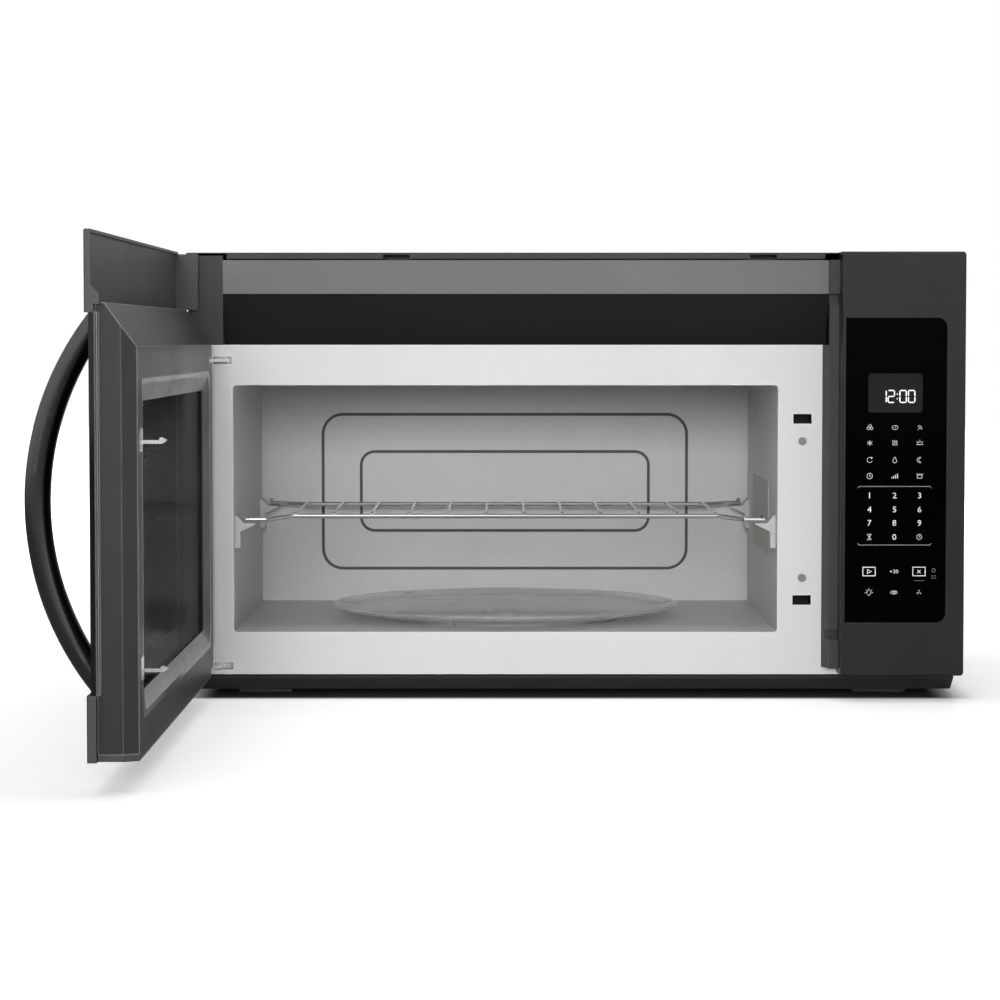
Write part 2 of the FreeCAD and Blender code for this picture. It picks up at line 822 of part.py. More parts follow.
def front_frame():
    """The painted plate round the oven's mouth, slotted for the hinge arms and the latch."""
    body = new_body("front_frame")
    back = FRONT + S.frame_sheet
    pad(body, "XZ", FRONT, back,
        rectangle(FRAME_LEFT, S.frame_foot, FRAME_RIGHT, FRAME_TOP),
        rounded(OPENING_LEFT, OPENING_LOW, OPENING_RIGHT, OPENING_TOP, S.opening_corner))
    pad(body, "XY", FRAME_TOP - S.frame_sheet, FRAME_TOP,
        rectangle(FRAME_LEFT, back, FRAME_RIGHT, FRONT + S.frame_shelf))
    pad(body, "XY", S.frame_foot, S.frame_foot + S.frame_sheet,
        rectangle(FRAME_LEFT, back, FRAME_RIGHT, FRONT + S.base_setback + S.base_step))
    wiring = rectangle(display_x(-1), S.wiring_low, display_x(1), S.wiring_high)
    arm_x = LEFT + S.arm_inset + S.arm_width / 2
    half = S.hinge_slot_width / 2
    cuts = []
    for low in (S.hinge_low, S.hinge_high):
        middle = low + S.hinge_plate / 2
        reach = S.hinge_slot_height / 2
        cuts.append(rectangle(arm_x - half, middle - reach, arm_x + half, middle + reach))
    half, reach = S.latch_slot_width / 2, S.latch_slot_height / 2
    for middle in (S.latch_low, S.latch_low + S.latch_spacing):
        cuts.append(rectangle(LATCH_X - half, middle - reach, LATCH_X + half, middle + reach))
    for height in (S.interlock_screw_low, S.interlock_screw_high):
        cuts.append(circle(LATCH_X, height, S.screw_shank + S.screw_play))
    pocket(body, "XZ", FRONT, back, *cuts, wiring)

    def pressed(edge):
        """Whether an edge is the plate's top bend or belongs to the mouth's own rim."""
        box = edge.BoundBox
        if not (at(FRONT, box.YMin) and at(FRONT, box.YMax)):
            return False
        mouth = at(OPENING_LEFT, box.XMin) or at(OPENING_RIGHT, box.XMax)
        across = at(OPENING_LOW, box.ZMin) or at(OPENING_TOP, box.ZMax)
        return (mouth and box.ZLength > 1) or (across and box.XLength > 1) or at(FRAME_TOP, box.ZMin)

    dress(body, "Fillet", S.frame_round, pressed)
    return body


def interlock_block():
    """The block behind the latch slots, open to the hooks, with the two screws that hold it."""
    body = new_body("interlock_block")
    front = FRONT + S.frame_sheet
    back = front + S.interlock_depth
    low = S.latch_low - S.interlock_margin
    high = S.latch_low + S.latch_spacing + S.interlock_margin
    left, right = LATCH_X - S.interlock_half, LATCH_X + S.interlock_half
    pad(body, "XZ", front, back, rectangle(left, low, right, high))
    half, reach = S.latch_slot_width / 2, S.latch_slot_height / 2 + S.latch_travel
    middles = (S.latch_low, S.latch_low + S.latch_spacing)
    pocket(body, "XZ", front, back - S.interlock_wall,
           *[rectangle(LATCH_X - half, middle - reach, LATCH_X + half, middle + reach)
             for middle in middles])
    inner_low = S.latch_low + reach + S.interlock_wall
    inner_high = S.latch_low + S.latch_spacing - reach - S.interlock_wall
    boss = S.screw_shank + S.interlock_wall
    pocket(body, "XZ", front + S.interlock_wall, back,
           rectangle(LATCH_X - half, S.interlock_screw_low + boss, LATCH_X + half,
                     S.interlock_screw_high - boss))
    for height in (S.interlock_screw_low, S.interlock_screw_high):
        pad(body, "XZ", FRONT, front + S.interlock_wall, circle(LATCH_X, height, S.screw_shank))
        pad(body, "XZ", FRONT - S.screw_head_thick, FRONT, circle(LATCH_X, height, S.screw_head))
    return body


def deflector():
    """The light vertical band over the oven that turns the exhaust air upward."""
    body = new_body("deflector")
    thick = S.outlet_sheet
    shelf_back = FRONT + S.rail_depth
    pad(body, "YZ", OUTLET_LEFT, JAMB_LEFT,
        polygon((FRONT, OUTLET_LOW), (FRONT + thick, OUTLET_LOW),
                (FRONT + thick, OUTLET_HIGH - thick), (shelf_back, OUTLET_HIGH - thick),
                (shelf_back, OUTLET_HIGH), (FRONT, OUTLET_HIGH)))
    return body


def air_ramp():
    """The dark sheet that slopes back from the deflector down to the oven's top."""
    body = new_body("air_ramp")
    thick = S.outlet_sheet
    foot = FRONT + S.ramp_run
    pad(body, "YZ", OUTLET_LEFT, JAMB_LEFT,
        polygon((FRONT, OUTLET_LOW), (foot - thick, FRAME_TOP), (foot, FRAME_TOP),
                (FRONT + thick, OUTLET_LOW)))
    return body


def top_rail():
    """The narrow slotted rail between the deflector and the cabinet's top."""
    body = new_body("top_rail")
    low = OUTLET_HIGH
    high = TOP - S.case_sheet
    face_low = high - S.rail_face_drop - S.rail_height
    left, right = OUTLET_LEFT + S.rail_end_gap, JAMB_LEFT - S.rail_end_gap
    thick = S.outlet_sheet
    front = FRONT + S.rail_setback
    pad(body, "YZ", left, right,
        polygon((front, face_low), (front + thick, face_low), (front + thick, high - thick),
                (FRONT + S.rail_depth - thick, high - thick), (FRONT + S.rail_depth - thick, low),
                (FRONT + S.rail_depth, low), (FRONT + S.rail_depth, high), (front, high)))
    cuts = [rectangle(left + start, face_low, left + start + S.rail_slot, high - thick)
            for start in (S.rail_slot_left, S.rail_slot_right)]
    pocket(body, "XZ", front, front + thick, *cuts)
    return body


def left_post():
    """The post that closes the air outlet at the hinge side."""
    body = new_body("left_post")
    thick = S.outlet_sheet
    left, right = LEFT + S.case_sheet, OUTLET_LEFT
    pad(body, "XY", FRAME_TOP, TOP - S.post_height,
        polygon((left, FRONT), (right, FRONT), (right, FRONT + S.frame_shelf),
                (right - thick, FRONT + S.frame_shelf), (right - thick, FRONT + thick),
                (left, FRONT + thick)))
    return body


def control_bezel():
    """The hollow housing of the controls, recessed for its glass."""
    body = new_body("control_bezel")
    back = FRONT
    pad(body, "XZ", PANEL_FRONT, back, rectangle(PANEL_LEFT, S.panel_foot, RIGHT, TOP))
    dress(body, "Fillet", S.panel_corner,
          lambda edge: at(RIGHT, edge.BoundBox.XMin) and edge.BoundBox.YLength > 1)
    dress(body, "Fillet", S.panel_edge_round,
          lambda edge: at(PANEL_FRONT, edge.BoundBox.YMax))
    wall = S.panel_wall
    face = PANEL_FRONT + S.panel_face + S.panel_glass_thick
    pocket(body, "XZ", face, back,
           rectangle(PANEL_LEFT + wall, S.panel_foot + wall, RIGHT - wall, TOP - wall))
    glass_left = PANEL_LEFT + S.panel_glass_edge
    pocket(body, "XZ", PANEL_FRONT, PANEL_FRONT + S.panel_glass_thick,
           control_glass_outline(glass_left, 0))
    pocket(body, "XZ", PANEL_FRONT + S.panel_glass_thick, face,
           rectangle(display_x(-1), display_z(-1), display_x(1), display_z(1)))
    return body


def control_glass_outline(left, inset):
    """The glass's outline: square at the door side, rounded at the outer side."""
    right = left + S.panel_glass_width
    return rounded_right(left + inset, S.glass_low + inset, right - inset,
                         GLASS_HIGH - inset, S.panel_glass_corner)


def rounded_right(left, low, right, high, radius):
    """A rectangle whose two right-hand corners are arcs."""
    def draw(sketch):
        right_in, low_in, high_in = right - radius, low + radius, high - radius
        sides = [add_line(sketch, (left, low), (right_in, low)),
                 add_line(sketch, (right, low_in), (right, high_in)),
                 add_line(sketch, (right_in, high), (left, high)),
                 add_line(sketch, (left, high), (left, low))]
        upward = FreeCAD.Vector(0, 0, 1)
        for place_number, y in enumerate((low_in, high_in)):
            middle = FreeCAD.Vector(right_in.number, y.number, 0)
            turn = math.radians(90 * place_number - 90)
            arc = sketch.addGeometry(
                Part.ArcOfCircle(Part.Circle(middle, upward, radius.number), turn,
                                 turn + math.radians(90)), False)
            before, following = sides[place_number], sides[place_number + 1]
            sketch.addConstraint(Sketcher.Constraint("Tangent", before, END, arc, START))
            sketch.addConstraint(Sketcher.Constraint("Tangent", arc, END, following, START))
            hold_point(sketch, arc, CENTRE, right_in, y)
            if place_number == 0:
                hold(sketch, "Radius", arc, value=radius)
        sketch.addConstraint(Sketcher.Constraint("Coincident", sides[2], END, sides[3], START))
        sketch.addConstraint(Sketcher.Constraint("Coincident", sides[3], END, sides[0], START))
        hold_point(sketch, sides[0], START, left, low)
        hold_point(sketch, sides[3], START, left, high)
    return draw


def display_x(side):
    """The display window's left (-1) or right (1) edge."""
    return DISPLAY_X + side * S.display_width / 2


def display_z(side):
    """The display window's lower (-1) or upper (1) edge."""
    return S.display_rise + side * S.display_height / 2


def control_glass():
    """The black touch glass, flush in the bezel."""
    body = new_body("control_glass")
    glass_left = PANEL_LEFT + S.panel_glass_edge
    pad(body, "XZ", PANEL_FRONT, PANEL_FRONT + S.panel_glass_thick,
        control_glass_outline(glass_left, 0))
    return body


def display_module():
    """The clock display, from the glass back to its board."""
    body = new_body("display_module")
    pad(body, "XZ", PANEL_FRONT + S.panel_glass_thick, BOARD_FRONT,
        rectangle(display_x(-1), display_z(-1), display_x(1), display_z(1)))
    return body


def control_board():
    """The circuit board on four bosses of the bezel's face, with relays and a transformer."""
    body = new_body("control_board")
    board_left, board_right = PANEL_LEFT + S.board_margin, RIGHT - S.board_margin
    low, high = S.glass_low + S.board_margin, GLASS_HIGH - S.board_margin
    pad(body, "XZ", BOARD_FRONT, BOARD_FRONT + S.board_thick,
        rectangle(board_left, low, board_right, high))
    face = PANEL_FRONT + S.panel_face + S.panel_glass_thick
    corners = [(x, z) for x in (board_left + S.board_boss_inset, board_right - S.board_boss_inset)
               for z in (low + S.board_boss_inset, high - S.board_boss_inset)]
    for x, z in corners:
        pad(body, "XZ", face, BOARD_FRONT,
            rectangle(x - S.board_boss, z - S.board_boss, x + S.board_boss, z + S.board_boss))
    for number in range(SIZES["relay_count"]):
        relay_low = low + S.relay_start + number * S.relay_pitch
        pad(body, "XZ", BOARD_FRONT + S.board_thick, BOARD_FRONT + S.board_thick + S.relay_height,
            rectangle(board_left + S.relay_inset, relay_low, board_left + S.relay_inset + S.relay_width,
                      relay_low + S.relay_length))
    return body


def panel_jamb():
    """The stepped strip at the controls' door side, on the oven's front frame."""
    body = new_body("panel_jamb")
    low, high = S.panel_foot + S.jamb_foot, OUTLET_HIGH
    step_low = low + S.jamb_low_height
    step_high = step_low + S.jamb_gap
    upper_low = OUTLET_LOW
    upper_high = upper_low - S.jamb_upper_gap
    slant_left = JAMB_LEFT - S.jamb_slant
    right = PANEL_LEFT
    floor = FRONT - S.jamb_floor
    pad(body, "XY", low, upper_high,
        polygon((slant_left, FRONT), (JAMB_LEFT, FRONT - S.jamb_depth),
                (right, FRONT - S.jamb_depth), (right, FRONT)))
    pad(body, "XY", low, step_low,
        rectangle(JAMB_LEFT, FRONT - S.jamb_low_depth, right, FRONT - S.jamb_depth))
    pocket(body, "XY", step_low, step_high,
           rectangle(slant_left, FRONT - S.jamb_depth, right, floor))
    pad(body, "XY", upper_low, high,
        rectangle(JAMB_LEFT, FRONT - S.jamb_high_depth, right, FRONT))
    pad(body, "XY", upper_high, upper_low, rectangle(JAMB_LEFT, floor, right, FRONT))
    pocket(body, "XY", FRAME_TOP, upper_high,
           rectangle(slant_left, FRONT - S.jamb_depth, JAMB_LEFT, FRONT))
    return body


# ---------------------------------------------------------------- oven cavity
def cavity_liner():
    """The oven's box: two pressed grooves in its back, lamp and wave ports, track hole."""
    body = new_body("cavity_liner")
    wall = S.cavity_sheet
    pad(body, "XZ", CAVITY_FRONT, CAVITY_BACK + wall,
        rectangle(CAVITY_LEFT - wall, CAVITY_FLOOR - wall, CAVITY_RIGHT + wall,
                  CAVITY_TOP + wall))
    back = CAVITY_BACK + wall
    outer = (S.emboss_side, S.emboss_low, S.emboss_high, S.emboss_corner)
    inner = (S.emboss_inner_side, S.emboss_inner_low, S.emboss_inner_high, S.emboss_inner_corner)
    half = S.emboss_width / 2
    for outline in (outer, inner):
        pad(body, "XZ", back, back + S.emboss_depth, emboss(*outline, half + wall),
            emboss(*outline, -half - wall))
    pocket(body, "XZ", CAVITY_FRONT, CAVITY_BACK,
           rectangle(CAVITY_LEFT, CAVITY_FLOOR, CAVITY_RIGHT, CAVITY_TOP))
    for outline in (outer, inner):
        pocket(body, "XZ", CAVITY_BACK, CAVITY_BACK + S.emboss_depth, emboss(*outline, half),
               emboss(*outline, -half))
    pocket(body, "XY", CAVITY_FLOOR - wall, CAVITY_FLOOR, circle(OVEN_X, OVEN_Y, S.track_radius))
    lamp_y, lamp_z = FRONT + S.lamp_back, S.lamp_z
    holes = [circle(lamp_y + column * S.lamp_pitch, lamp_z + line * S.lamp_pitch, S.lamp_hole)
             for column in (-1, 0, 1) for line in (-1, 0, 1)]
    pocket(body, "YZ", CAVITY_RIGHT, CAVITY_RIGHT + wall, *holes,
           rectangle(PORT_FRONT, S.port_low, PORT_BACK, PORT_HIGH))
    return body


def emboss(side, low, high, corner, grow):
    """One of the back wall's pressed outlines, centred on the oven; grow makes it larger."""
    return rounded(OVEN_X - side - grow, low - grow, OVEN_X + side + grow, high + grow,
                   corner + grow)


def roller_track():
    """The shallow dish that the rollers run in, welded under the hole in the oven's floor."""
    body = new_body("roller_track")
    wall = S.cavity_sheet
    top = CAVITY_FLOOR - wall
    bore = circle(OVEN_X, OVEN_Y, S.track_radius)
    pad(body, "XY", TRACK_FLOOR - wall, top, circle(OVEN_X, OVEN_Y, S.track_radius + wall))
    pad(body, "XY", top - wall, top, circle(OVEN_X, OVEN_Y, S.track_radius + S.track_flange), bore)
    pocket(body, "XY", TRACK_FLOOR, top, bore)
    pocket(body, "XY", TRACK_FLOOR - wall, TRACK_FLOOR, circle(OVEN_X, OVEN_Y, S.shaft_hole))
    return body


def waveguide_cover():
    """The mica sheet over the wave port, on the cavity's right wall."""
    body = new_body("waveguide_cover")
    margin = S.cover_margin
    pad(body, "YZ", CAVITY_RIGHT - S.cover_thick, CAVITY_RIGHT,
        rectangle(PORT_FRONT - margin, S.port_low - margin, PORT_BACK + margin,
                  PORT_HIGH + margin))
    return body


def waveguide():
    """The rectangular duct from the magnetron to the wave port."""
    body = new_body("waveguide")
    left = CAVITY_RIGHT + S.cavity_sheet
    right = left + S.guide_depth
    sheet_wall = S.guide_wall
    outer = (PORT_FRONT - sheet_wall, S.port_low - sheet_wall, PORT_BACK + sheet_wall,
             PORT_HIGH + sheet_wall)
    pad(body, "YZ", left, right, rectangle(*outer))
    pocket(body, "YZ", left, right - sheet_wall,
           rectangle(PORT_FRONT, S.port_low, PORT_BACK, PORT_HIGH))
    return body


def magnetron():
    """The magnetron: its cooling fins between two magnets, with the filter box below."""
    body = new_body("magnetron")
    left = CAVITY_RIGHT + S.cavity_sheet + S.guide_depth
    middle_y, middle_z = (PORT_FRONT + PORT_BACK) / 2, (S.port_low + PORT_HIGH) / 2
    half, reach = S.magnetron_width / 2, S.magnetron_height / 2
    fin_low, fin_high = middle_z - reach, middle_z + reach
    sheet_wall = S.guide_wall
    end = left + S.magnetron_length
    for low, high in ((left, left + sheet_wall), (end - sheet_wall, end)):
        pad(body, "YZ", low, high,
            rectangle(middle_y - half, fin_low, middle_y + half, fin_high))
    pad(body, "YZ", left, end, circle(middle_y, middle_z, S.magnetron_core))
    pitch = S.magnetron_length / (S.fin_count + 1)
    fin = pad(body, "YZ", left + pitch, left + pitch + S.fin_thick,
              rectangle(middle_y - half, fin_low + S.fin_inset, middle_y + half,
                        fin_high - S.fin_inset))
    repeat_along(body, fin, "X", pitch * (S.fin_count - 1), S.fin_count)
    pad(body, "YZ", end, end + S.filter_box,
        rectangle(middle_y - half + S.fin_inset, fin_low + S.fin_inset, middle_y + half - S.fin_inset,
                  fin_high - S.fin_inset))
    return body


def cavity_lamp():
    """The oven lamp: a shallow housing over the lamp holes, with its bulb."""
    body = new_body("cavity_lamp")
    left = CAVITY_RIGHT + S.cavity_sheet
    lamp_y, lamp_z = FRONT + S.lamp_back, S.lamp_z
    half, wall = S.lamp_housing / 2, S.guide_wall
    pad(body, "YZ", left, left + S.lamp_depth,
        rectangle(lamp_y - half, lamp_z - half, lamp_y + half, lamp_z + half))
    pocket(body, "YZ", left, left + S.lamp_depth - wall,
           rectangle(lamp_y - half + wall, lamp_z - half + wall, lamp_y + half - wall,
                     lamp_z + half - wall))
    pad(body, "YZ", left + S.bulb_gap, left + S.lamp_depth - wall, circle(lamp_y, lamp_z, S.bulb_radius))
    return body


def rack_clip(side, y, name):
    """A clip on the cavity's side wall: a slope that leads the rack's end onto its arm."""
    body = new_body(name)
    wire_low = RACK_Z - S.rail_wire - S.rack_gap
    top = RACK_Z + S.clip_rise
    low = top - S.clip_height
    thick = S.clip_thick
    arm_end = thick + S.clip_arm
    half = S.clip_length / 2
    outline = [(0, low), (thick, low), (thick, wire_low - S.clip_arm_root),
               (arm_end - S.clip_nose_run, wire_low - S.clip_nose_drop),
               (arm_end, wire_low - S.clip_arm_tip / 2), (arm_end, wire_low),
               (thick + S.clip_cradle, wire_low), (S.clip_top_flat, top), (0, top)]
    wall = CAVITY_LEFT if side < 0 else CAVITY_RIGHT
    corners = [(wall - side * x, z) for x, z in outline]
    pad(body, "XZ", y - half, y + half, polygon(*corners))
    return body


def wire_rack():
    """The rack: two rails that splay out to upturned tips, and the welded cross wires."""
    body = new_body("wire_rack")
    rail_y = (FRONT + S.rack_front, FRONT + S.rack_front + S.rack_span)
    clip_y = (FRONT + S.clip_front, FRONT + S.clip_front + S.clip_span)
    splay = S.cross_pitch * (S.cross_count - 1) / 2 + S.rack_end
    reach = (CAVITY_RIGHT - CAVITY_LEFT) / 2 - S.clip_thick - S.rack_wall_gap
    shoulder = reach - S.rack_shoulder
    for rail, clip in zip(rail_y, clip_y):
        route = [(OVEN_X - reach, clip), (OVEN_X - shoulder, clip), (OVEN_X - splay, rail),
                 (OVEN_X + splay, rail), (OVEN_X + shoulder, clip), (OVEN_X + reach, clip)]
        pipe_along(body, RACK_Z, route, S.rail_wire)
        for side in (-1, 1):
            pad(body, "XY", RACK_Z, RACK_Z + S.rack_tip,
                circle(OVEN_X + side * (reach - S.rail_wire), clip, S.rack_tip_radius))
    height = RACK_Z + S.rail_wire + S.cross_wire - S.cross_weld
    first = OVEN_X - S.cross_pitch * (S.cross_count - 1) / 2
    wire = pad(body, "XZ", rail_y[0] - S.cross_overhang, rail_y[1] + S.cross_overhang,
               circle(first, height, S.cross_wire))
    repeat_along(body, wire, "X", S.cross_pitch * (S.cross_count - 1), S.cross_count)
    return body


def pipe_along(body, height, route, radius):
    """A wire of round section along a level route of straight runs and tangent bends."""
    path = sketch_on(body, "XY", height)
    vectors = [FreeCAD.Vector(x.number, y.number, 0) for x, y in route]
    lines = [path.addGeometry(Part.LineSegment(a, b), False)
             for a, b in zip(vectors, vectors[1:])]
    for before, after in zip(lines, lines[1:]):
        path.addConstraint(Sketcher.Constraint("Coincident", before, END, after, START))
    for line, (x, y) in zip(lines, route):
        hold_point(path, line, START, x, y)
    hold_point(path, lines[-1], END, *route[-1])
    section = sketch_on(body, "YZ", route[0][0], circle(route[0][1], height, radius))
    feature = body.newObject("PartDesign::AdditivePipe", body.Label + "_wire")
    feature.Profile = (section, [""])
    feature.Spine = (path, [""])
    feature.Transition = "Round corner"
    return feature


# ---------------------------------------------------------------- turntable
def turntable_motor():
    """The flat synchronous motor under the oven's floor, with its two ears."""
    body = new_body("turntable_motor")
    top = TRACK_FLOOR - S.cavity_sheet
    low = top - S.turn_motor_height
    pad(body, "XY", low, top, circle(OVEN_X, OVEN_Y, S.turn_motor_radius))
    pad(body, "XY", top - S.turn_motor_ear, top,
        rectangle(OVEN_X - S.turn_motor_span, OVEN_Y - S.turn_motor_half,
                  OVEN_X + S.turn_motor_span, OVEN_Y + S.turn_motor_half))
    bore = S.shaft_radius + S.shaft_fit
    pocket(body, "XY", top - S.shaft_depth - S.shaft_end_gap, top, circle(OVEN_X, OVEN_Y, bore))
    return body


def turntable_coupler():
    """The driver: a shaft into the motor and a hub with three arms under the tray."""
    body = new_body("turntable_coupler")
    motor_top = TRACK_FLOOR - S.cavity_sheet
    pad(body, "XY", motor_top - S.shaft_depth, TRAY_Z, circle(0, 0, S.shaft_radius))
    hub_low = TRACK_FLOOR + S.coupler_rise
    pad(body, "XY", hub_low, TRAY_Z, circle(0, 0, S.coupler_radius))
    half = S.coupler_arm_width / 2
    arm = pad(body, "XY", TRAY_Z - S.lug_height, TRAY_Z,
              rectangle(0, -half, S.coupler_arm, half))
    repeat_round(body, arm, S.coupler_arms)
    return place(body, x=OVEN_X, y=OVEN_Y)


def glass_tray():
    """The turntable's glass: a flat middle, a rising rim and three lugs for the coupler."""
    body = new_body("glass_tray")
    edge, thick, rise = S.tray_radius, S.tray_thick, S.tray_rise
    low = TRAY_Z
    revolve(body, "XZ", "V_Axis",
            polygon((0, low), (edge - S.rim_width, low), (edge - S.rim_lip, low + rise - S.rim_lip),
                    (edge, low + rise - S.rim_edge), (edge - S.rim_edge, low + rise),
                    (edge - S.rim_lip - S.rim_edge, low + rise),
                    (edge - S.rim_width + S.rim_edge, low + thick), (0, low + thick)))
    lug = pad(body, "XY", low - S.lug_height, low, circle(-S.lug_radius, 0, S.lug_size))
    repeat_round(body, lug, S.coupler_arms)
    return place(body, x=OVEN_X, y=OVEN_Y)


def roller_ring():
    """The loose ring under the tray that carries its rollers on short axles."""
    body = new_body("roller_ring")
    half = S.ring_thick / 2
    outer = S.ring_radius + S.ring_width
    pad(body, "XY", ROLLER_Z - half, ROLLER_Z + half, circle(0, 0, outer),
        circle(0, 0, S.ring_radius))
    axle_end = outer + S.roller_play + S.roller_width + S.roller_play
    axle = pad(body, "YZ", outer - S.ring_width / 2, axle_end, circle(0, ROLLER_Z, S.axle_radius))
    repeat_round(body, axle, S.roller_count)
    head = pad(body, "YZ", axle_end, axle_end + S.axle_head_thick, circle(0, ROLLER_Z, S.axle_head))
    repeat_round(body, head, S.roller_count)
    return place(body, x=OVEN_X, y=OVEN_Y)


def roller(number):
    """One plastic roller, drawn on the axle that points along X, then turned to its own."""
    body = new_body(f"roller_{number + 1}")
    near = S.ring_radius + S.ring_width + S.roller_play
    pad(body, "YZ", near, near + S.roller_width, circle(0, ROLLER_Z, S.roller_radius),
        circle(0, ROLLER_Z, S.axle_radius + S.axle_fit))
    return place(body, x=OVEN_X, y=OVEN_Y, turn=sized(number) * 360 / S.roller_count)


# ---------------------------------------------------------------- electrical and air
def transformer():
    """The laminated transformer on the base pan: a two-window core with its windings."""
    body = new_body("transformer")
    low = S.base_sheet
    left, right = TRANSFORMER_X - S.core_width / 2, TRANSFORMER_X + S.core_width / 2
    front, back = S.transformer_y - S.core_depth / 2, S.transformer_y + S.core_depth / 2
    pad(body, "XZ", front, back, rectangle(left, low, right, low + S.core_height))
    pad(body, "XZ", front - S.winding_bulge, back + S.winding_bulge,
        rectangle(left + S.core_leg, low + S.core_leg, right - S.core_leg,
                  low + S.core_height - S.core_leg))
    dress(body, "Fillet", S.winding_round,
          lambda edge: edge.BoundBox.ZLength > 1 and edge.BoundBox.XLength < 0.01
          and (at(front - S.winding_bulge, edge.BoundBox.YMax)
               or at(back + S.winding_bulge, edge.BoundBox.YMin)))
    pad(body, "XY", low, low + S.core_foot,
        rectangle(left - S.core_foot_reach, front, right + S.core_foot_reach, back))
    return body


def capacitor():
    """The high-voltage capacitor: an upright can with two blade terminals."""
    can = document.addObject("Part::Cylinder", "capacitor_can")
    bind(can, "Radius", S.capacitor_radius)
    bind(can, "Height", S.capacitor_height)
    bind(can, "Placement.Base.x", CAPACITOR_X)
    bind(can, "Placement.Base.y", S.capacitor_y)
    bind(can, "Placement.Base.z", S.base_sheet)
    terminals = []
    for side in (-1, 1):
        blade = document.addObject("Part::Box", "capacitor_blade")
        bind(blade, "Length", S.blade_thick)
        bind(blade, "Width", S.blade_width)
        bind(blade, "Height", S.blade_height + S.blade_sink)
        bind(blade, "Placement.Base.x", CAPACITOR_X + side * S.blade_spread - S.blade_thick / 2)
        bind(blade, "Placement.Base.y", S.capacitor_y - S.blade_width / 2)
        bind(blade, "Placement.Base.z", S.base_sheet + S.capacitor_height - S.blade_sink)
        terminals.append(blade)
    fuse = document.addObject("Part::MultiFuse", "capacitor")
    fuse.Label = "capacitor"
    fuse.Shapes = [can] + terminals
    return fuse


def cord_gland():
    """The bushing in the cabinet's top that the supply cord would pass through."""
    body = new_body("cord_gland")
    sheet_low = TOP - S.case_sheet
    barrel = S.gland_barrel - S.gland_play
    revolve(body, "XZ", "V_Axis",
            polygon((S.gland_bore, sheet_low - S.gland_length), (barrel, sheet_low - S.gland_length),
                    (barrel, sheet_low - S.gland_flange_thick),
                    (S.gland_flange, sheet_low - S.gland_flange_thick), (S.gland_flange, sheet_low),
                    (barrel, sheet_low), (barrel, TOP), (S.gland_bore, TOP)))
    return place(body, x=GLAND_X, y=GLAND_Y)


def fan_housing():
    """The cooling fan's bulkhead on the base pan, with its ring, spider, motor and shaft."""
    body = new_body("fan_housing")
    wall = S.fan_wall
    half = S.fan_radius + S.fan_margin
    ring = S.fan_radius + S.fan_tip_gap
    back = S.fan_y + wall
    pad(body, "XZ", S.fan_y, back,
        rectangle(FAN_X - half, S.base_sheet, FAN_X + half, S.fan_z + half),
        circle(FAN_X, S.fan_z, ring))
    pad(body, "XZ", S.fan_y - S.fan_ring_depth, S.fan_y, circle(FAN_X, S.fan_z, ring + wall),
        circle(FAN_X, S.fan_z, ring))
    bar = S.fan_bar
    for outline in (rectangle(FAN_X - ring - wall, S.fan_z - bar, FAN_X + ring + wall, S.fan_z + bar),
                    rectangle(FAN_X - bar, S.fan_z - ring - wall, FAN_X + bar,
                              S.fan_z + ring + wall)):
        pad(body, "XZ", S.fan_y + wall / 2, back + wall, outline)
    pad(body, "XZ", S.fan_y, back + S.fan_motor_length, circle(FAN_X, S.fan_z, S.fan_motor))
    pad(body, "XZ", S.fan_y - S.fan_shaft_length, S.fan_y, circle(FAN_X, S.fan_z, S.fan_shaft))
    return body


def cooling_fan():
    """The cooling fan's wheel: a hub and pitched blades, drawn about its own axle."""
    body = new_body("cooling_fan")
    half = S.fan_hub_length / 2
    pad(body, "XZ", -half, half, circle(0, 0, S.fan_hub))
    edge = S.fan_blade_half
    blade = pad(body, "YZ", S.fan_hub / 2, S.fan_radius,
                polygon((-S.fan_pitch, -edge), (S.fan_blade_thick - S.fan_pitch, -edge),
                        (S.fan_pitch, edge), (S.fan_pitch - S.fan_blade_thick, edge)))
    repeat_round(body, blade, S.fan_blades, "Y")
    pocket(body, "XZ", -half, half, circle(0, 0, S.fan_shaft + S.hinge_fit))
    middle = S.fan_y - S.fan_shaft_length + half
    return place(body, x=FAN_X, y=middle, z=S.fan_z)


BLOWER_RADIUS = S.wheel_radius + S.blower_gap
BLOWER_BOTTOM = CAVITY_TOP + S.cavity_sheet
BLOWER_Z = BLOWER_BOTTOM + S.blower_wall + BLOWER_RADIUS
BLOWER_Y = BACK - S.back_sheet - S.blower_wall - BLOWER_RADIUS
CHAMBER_INNER = S.motor_length / 2 + S.blower_wall
CHAMBER_OUTER = CHAMBER_INNER + S.wheel_width + S.blower_gap * 2


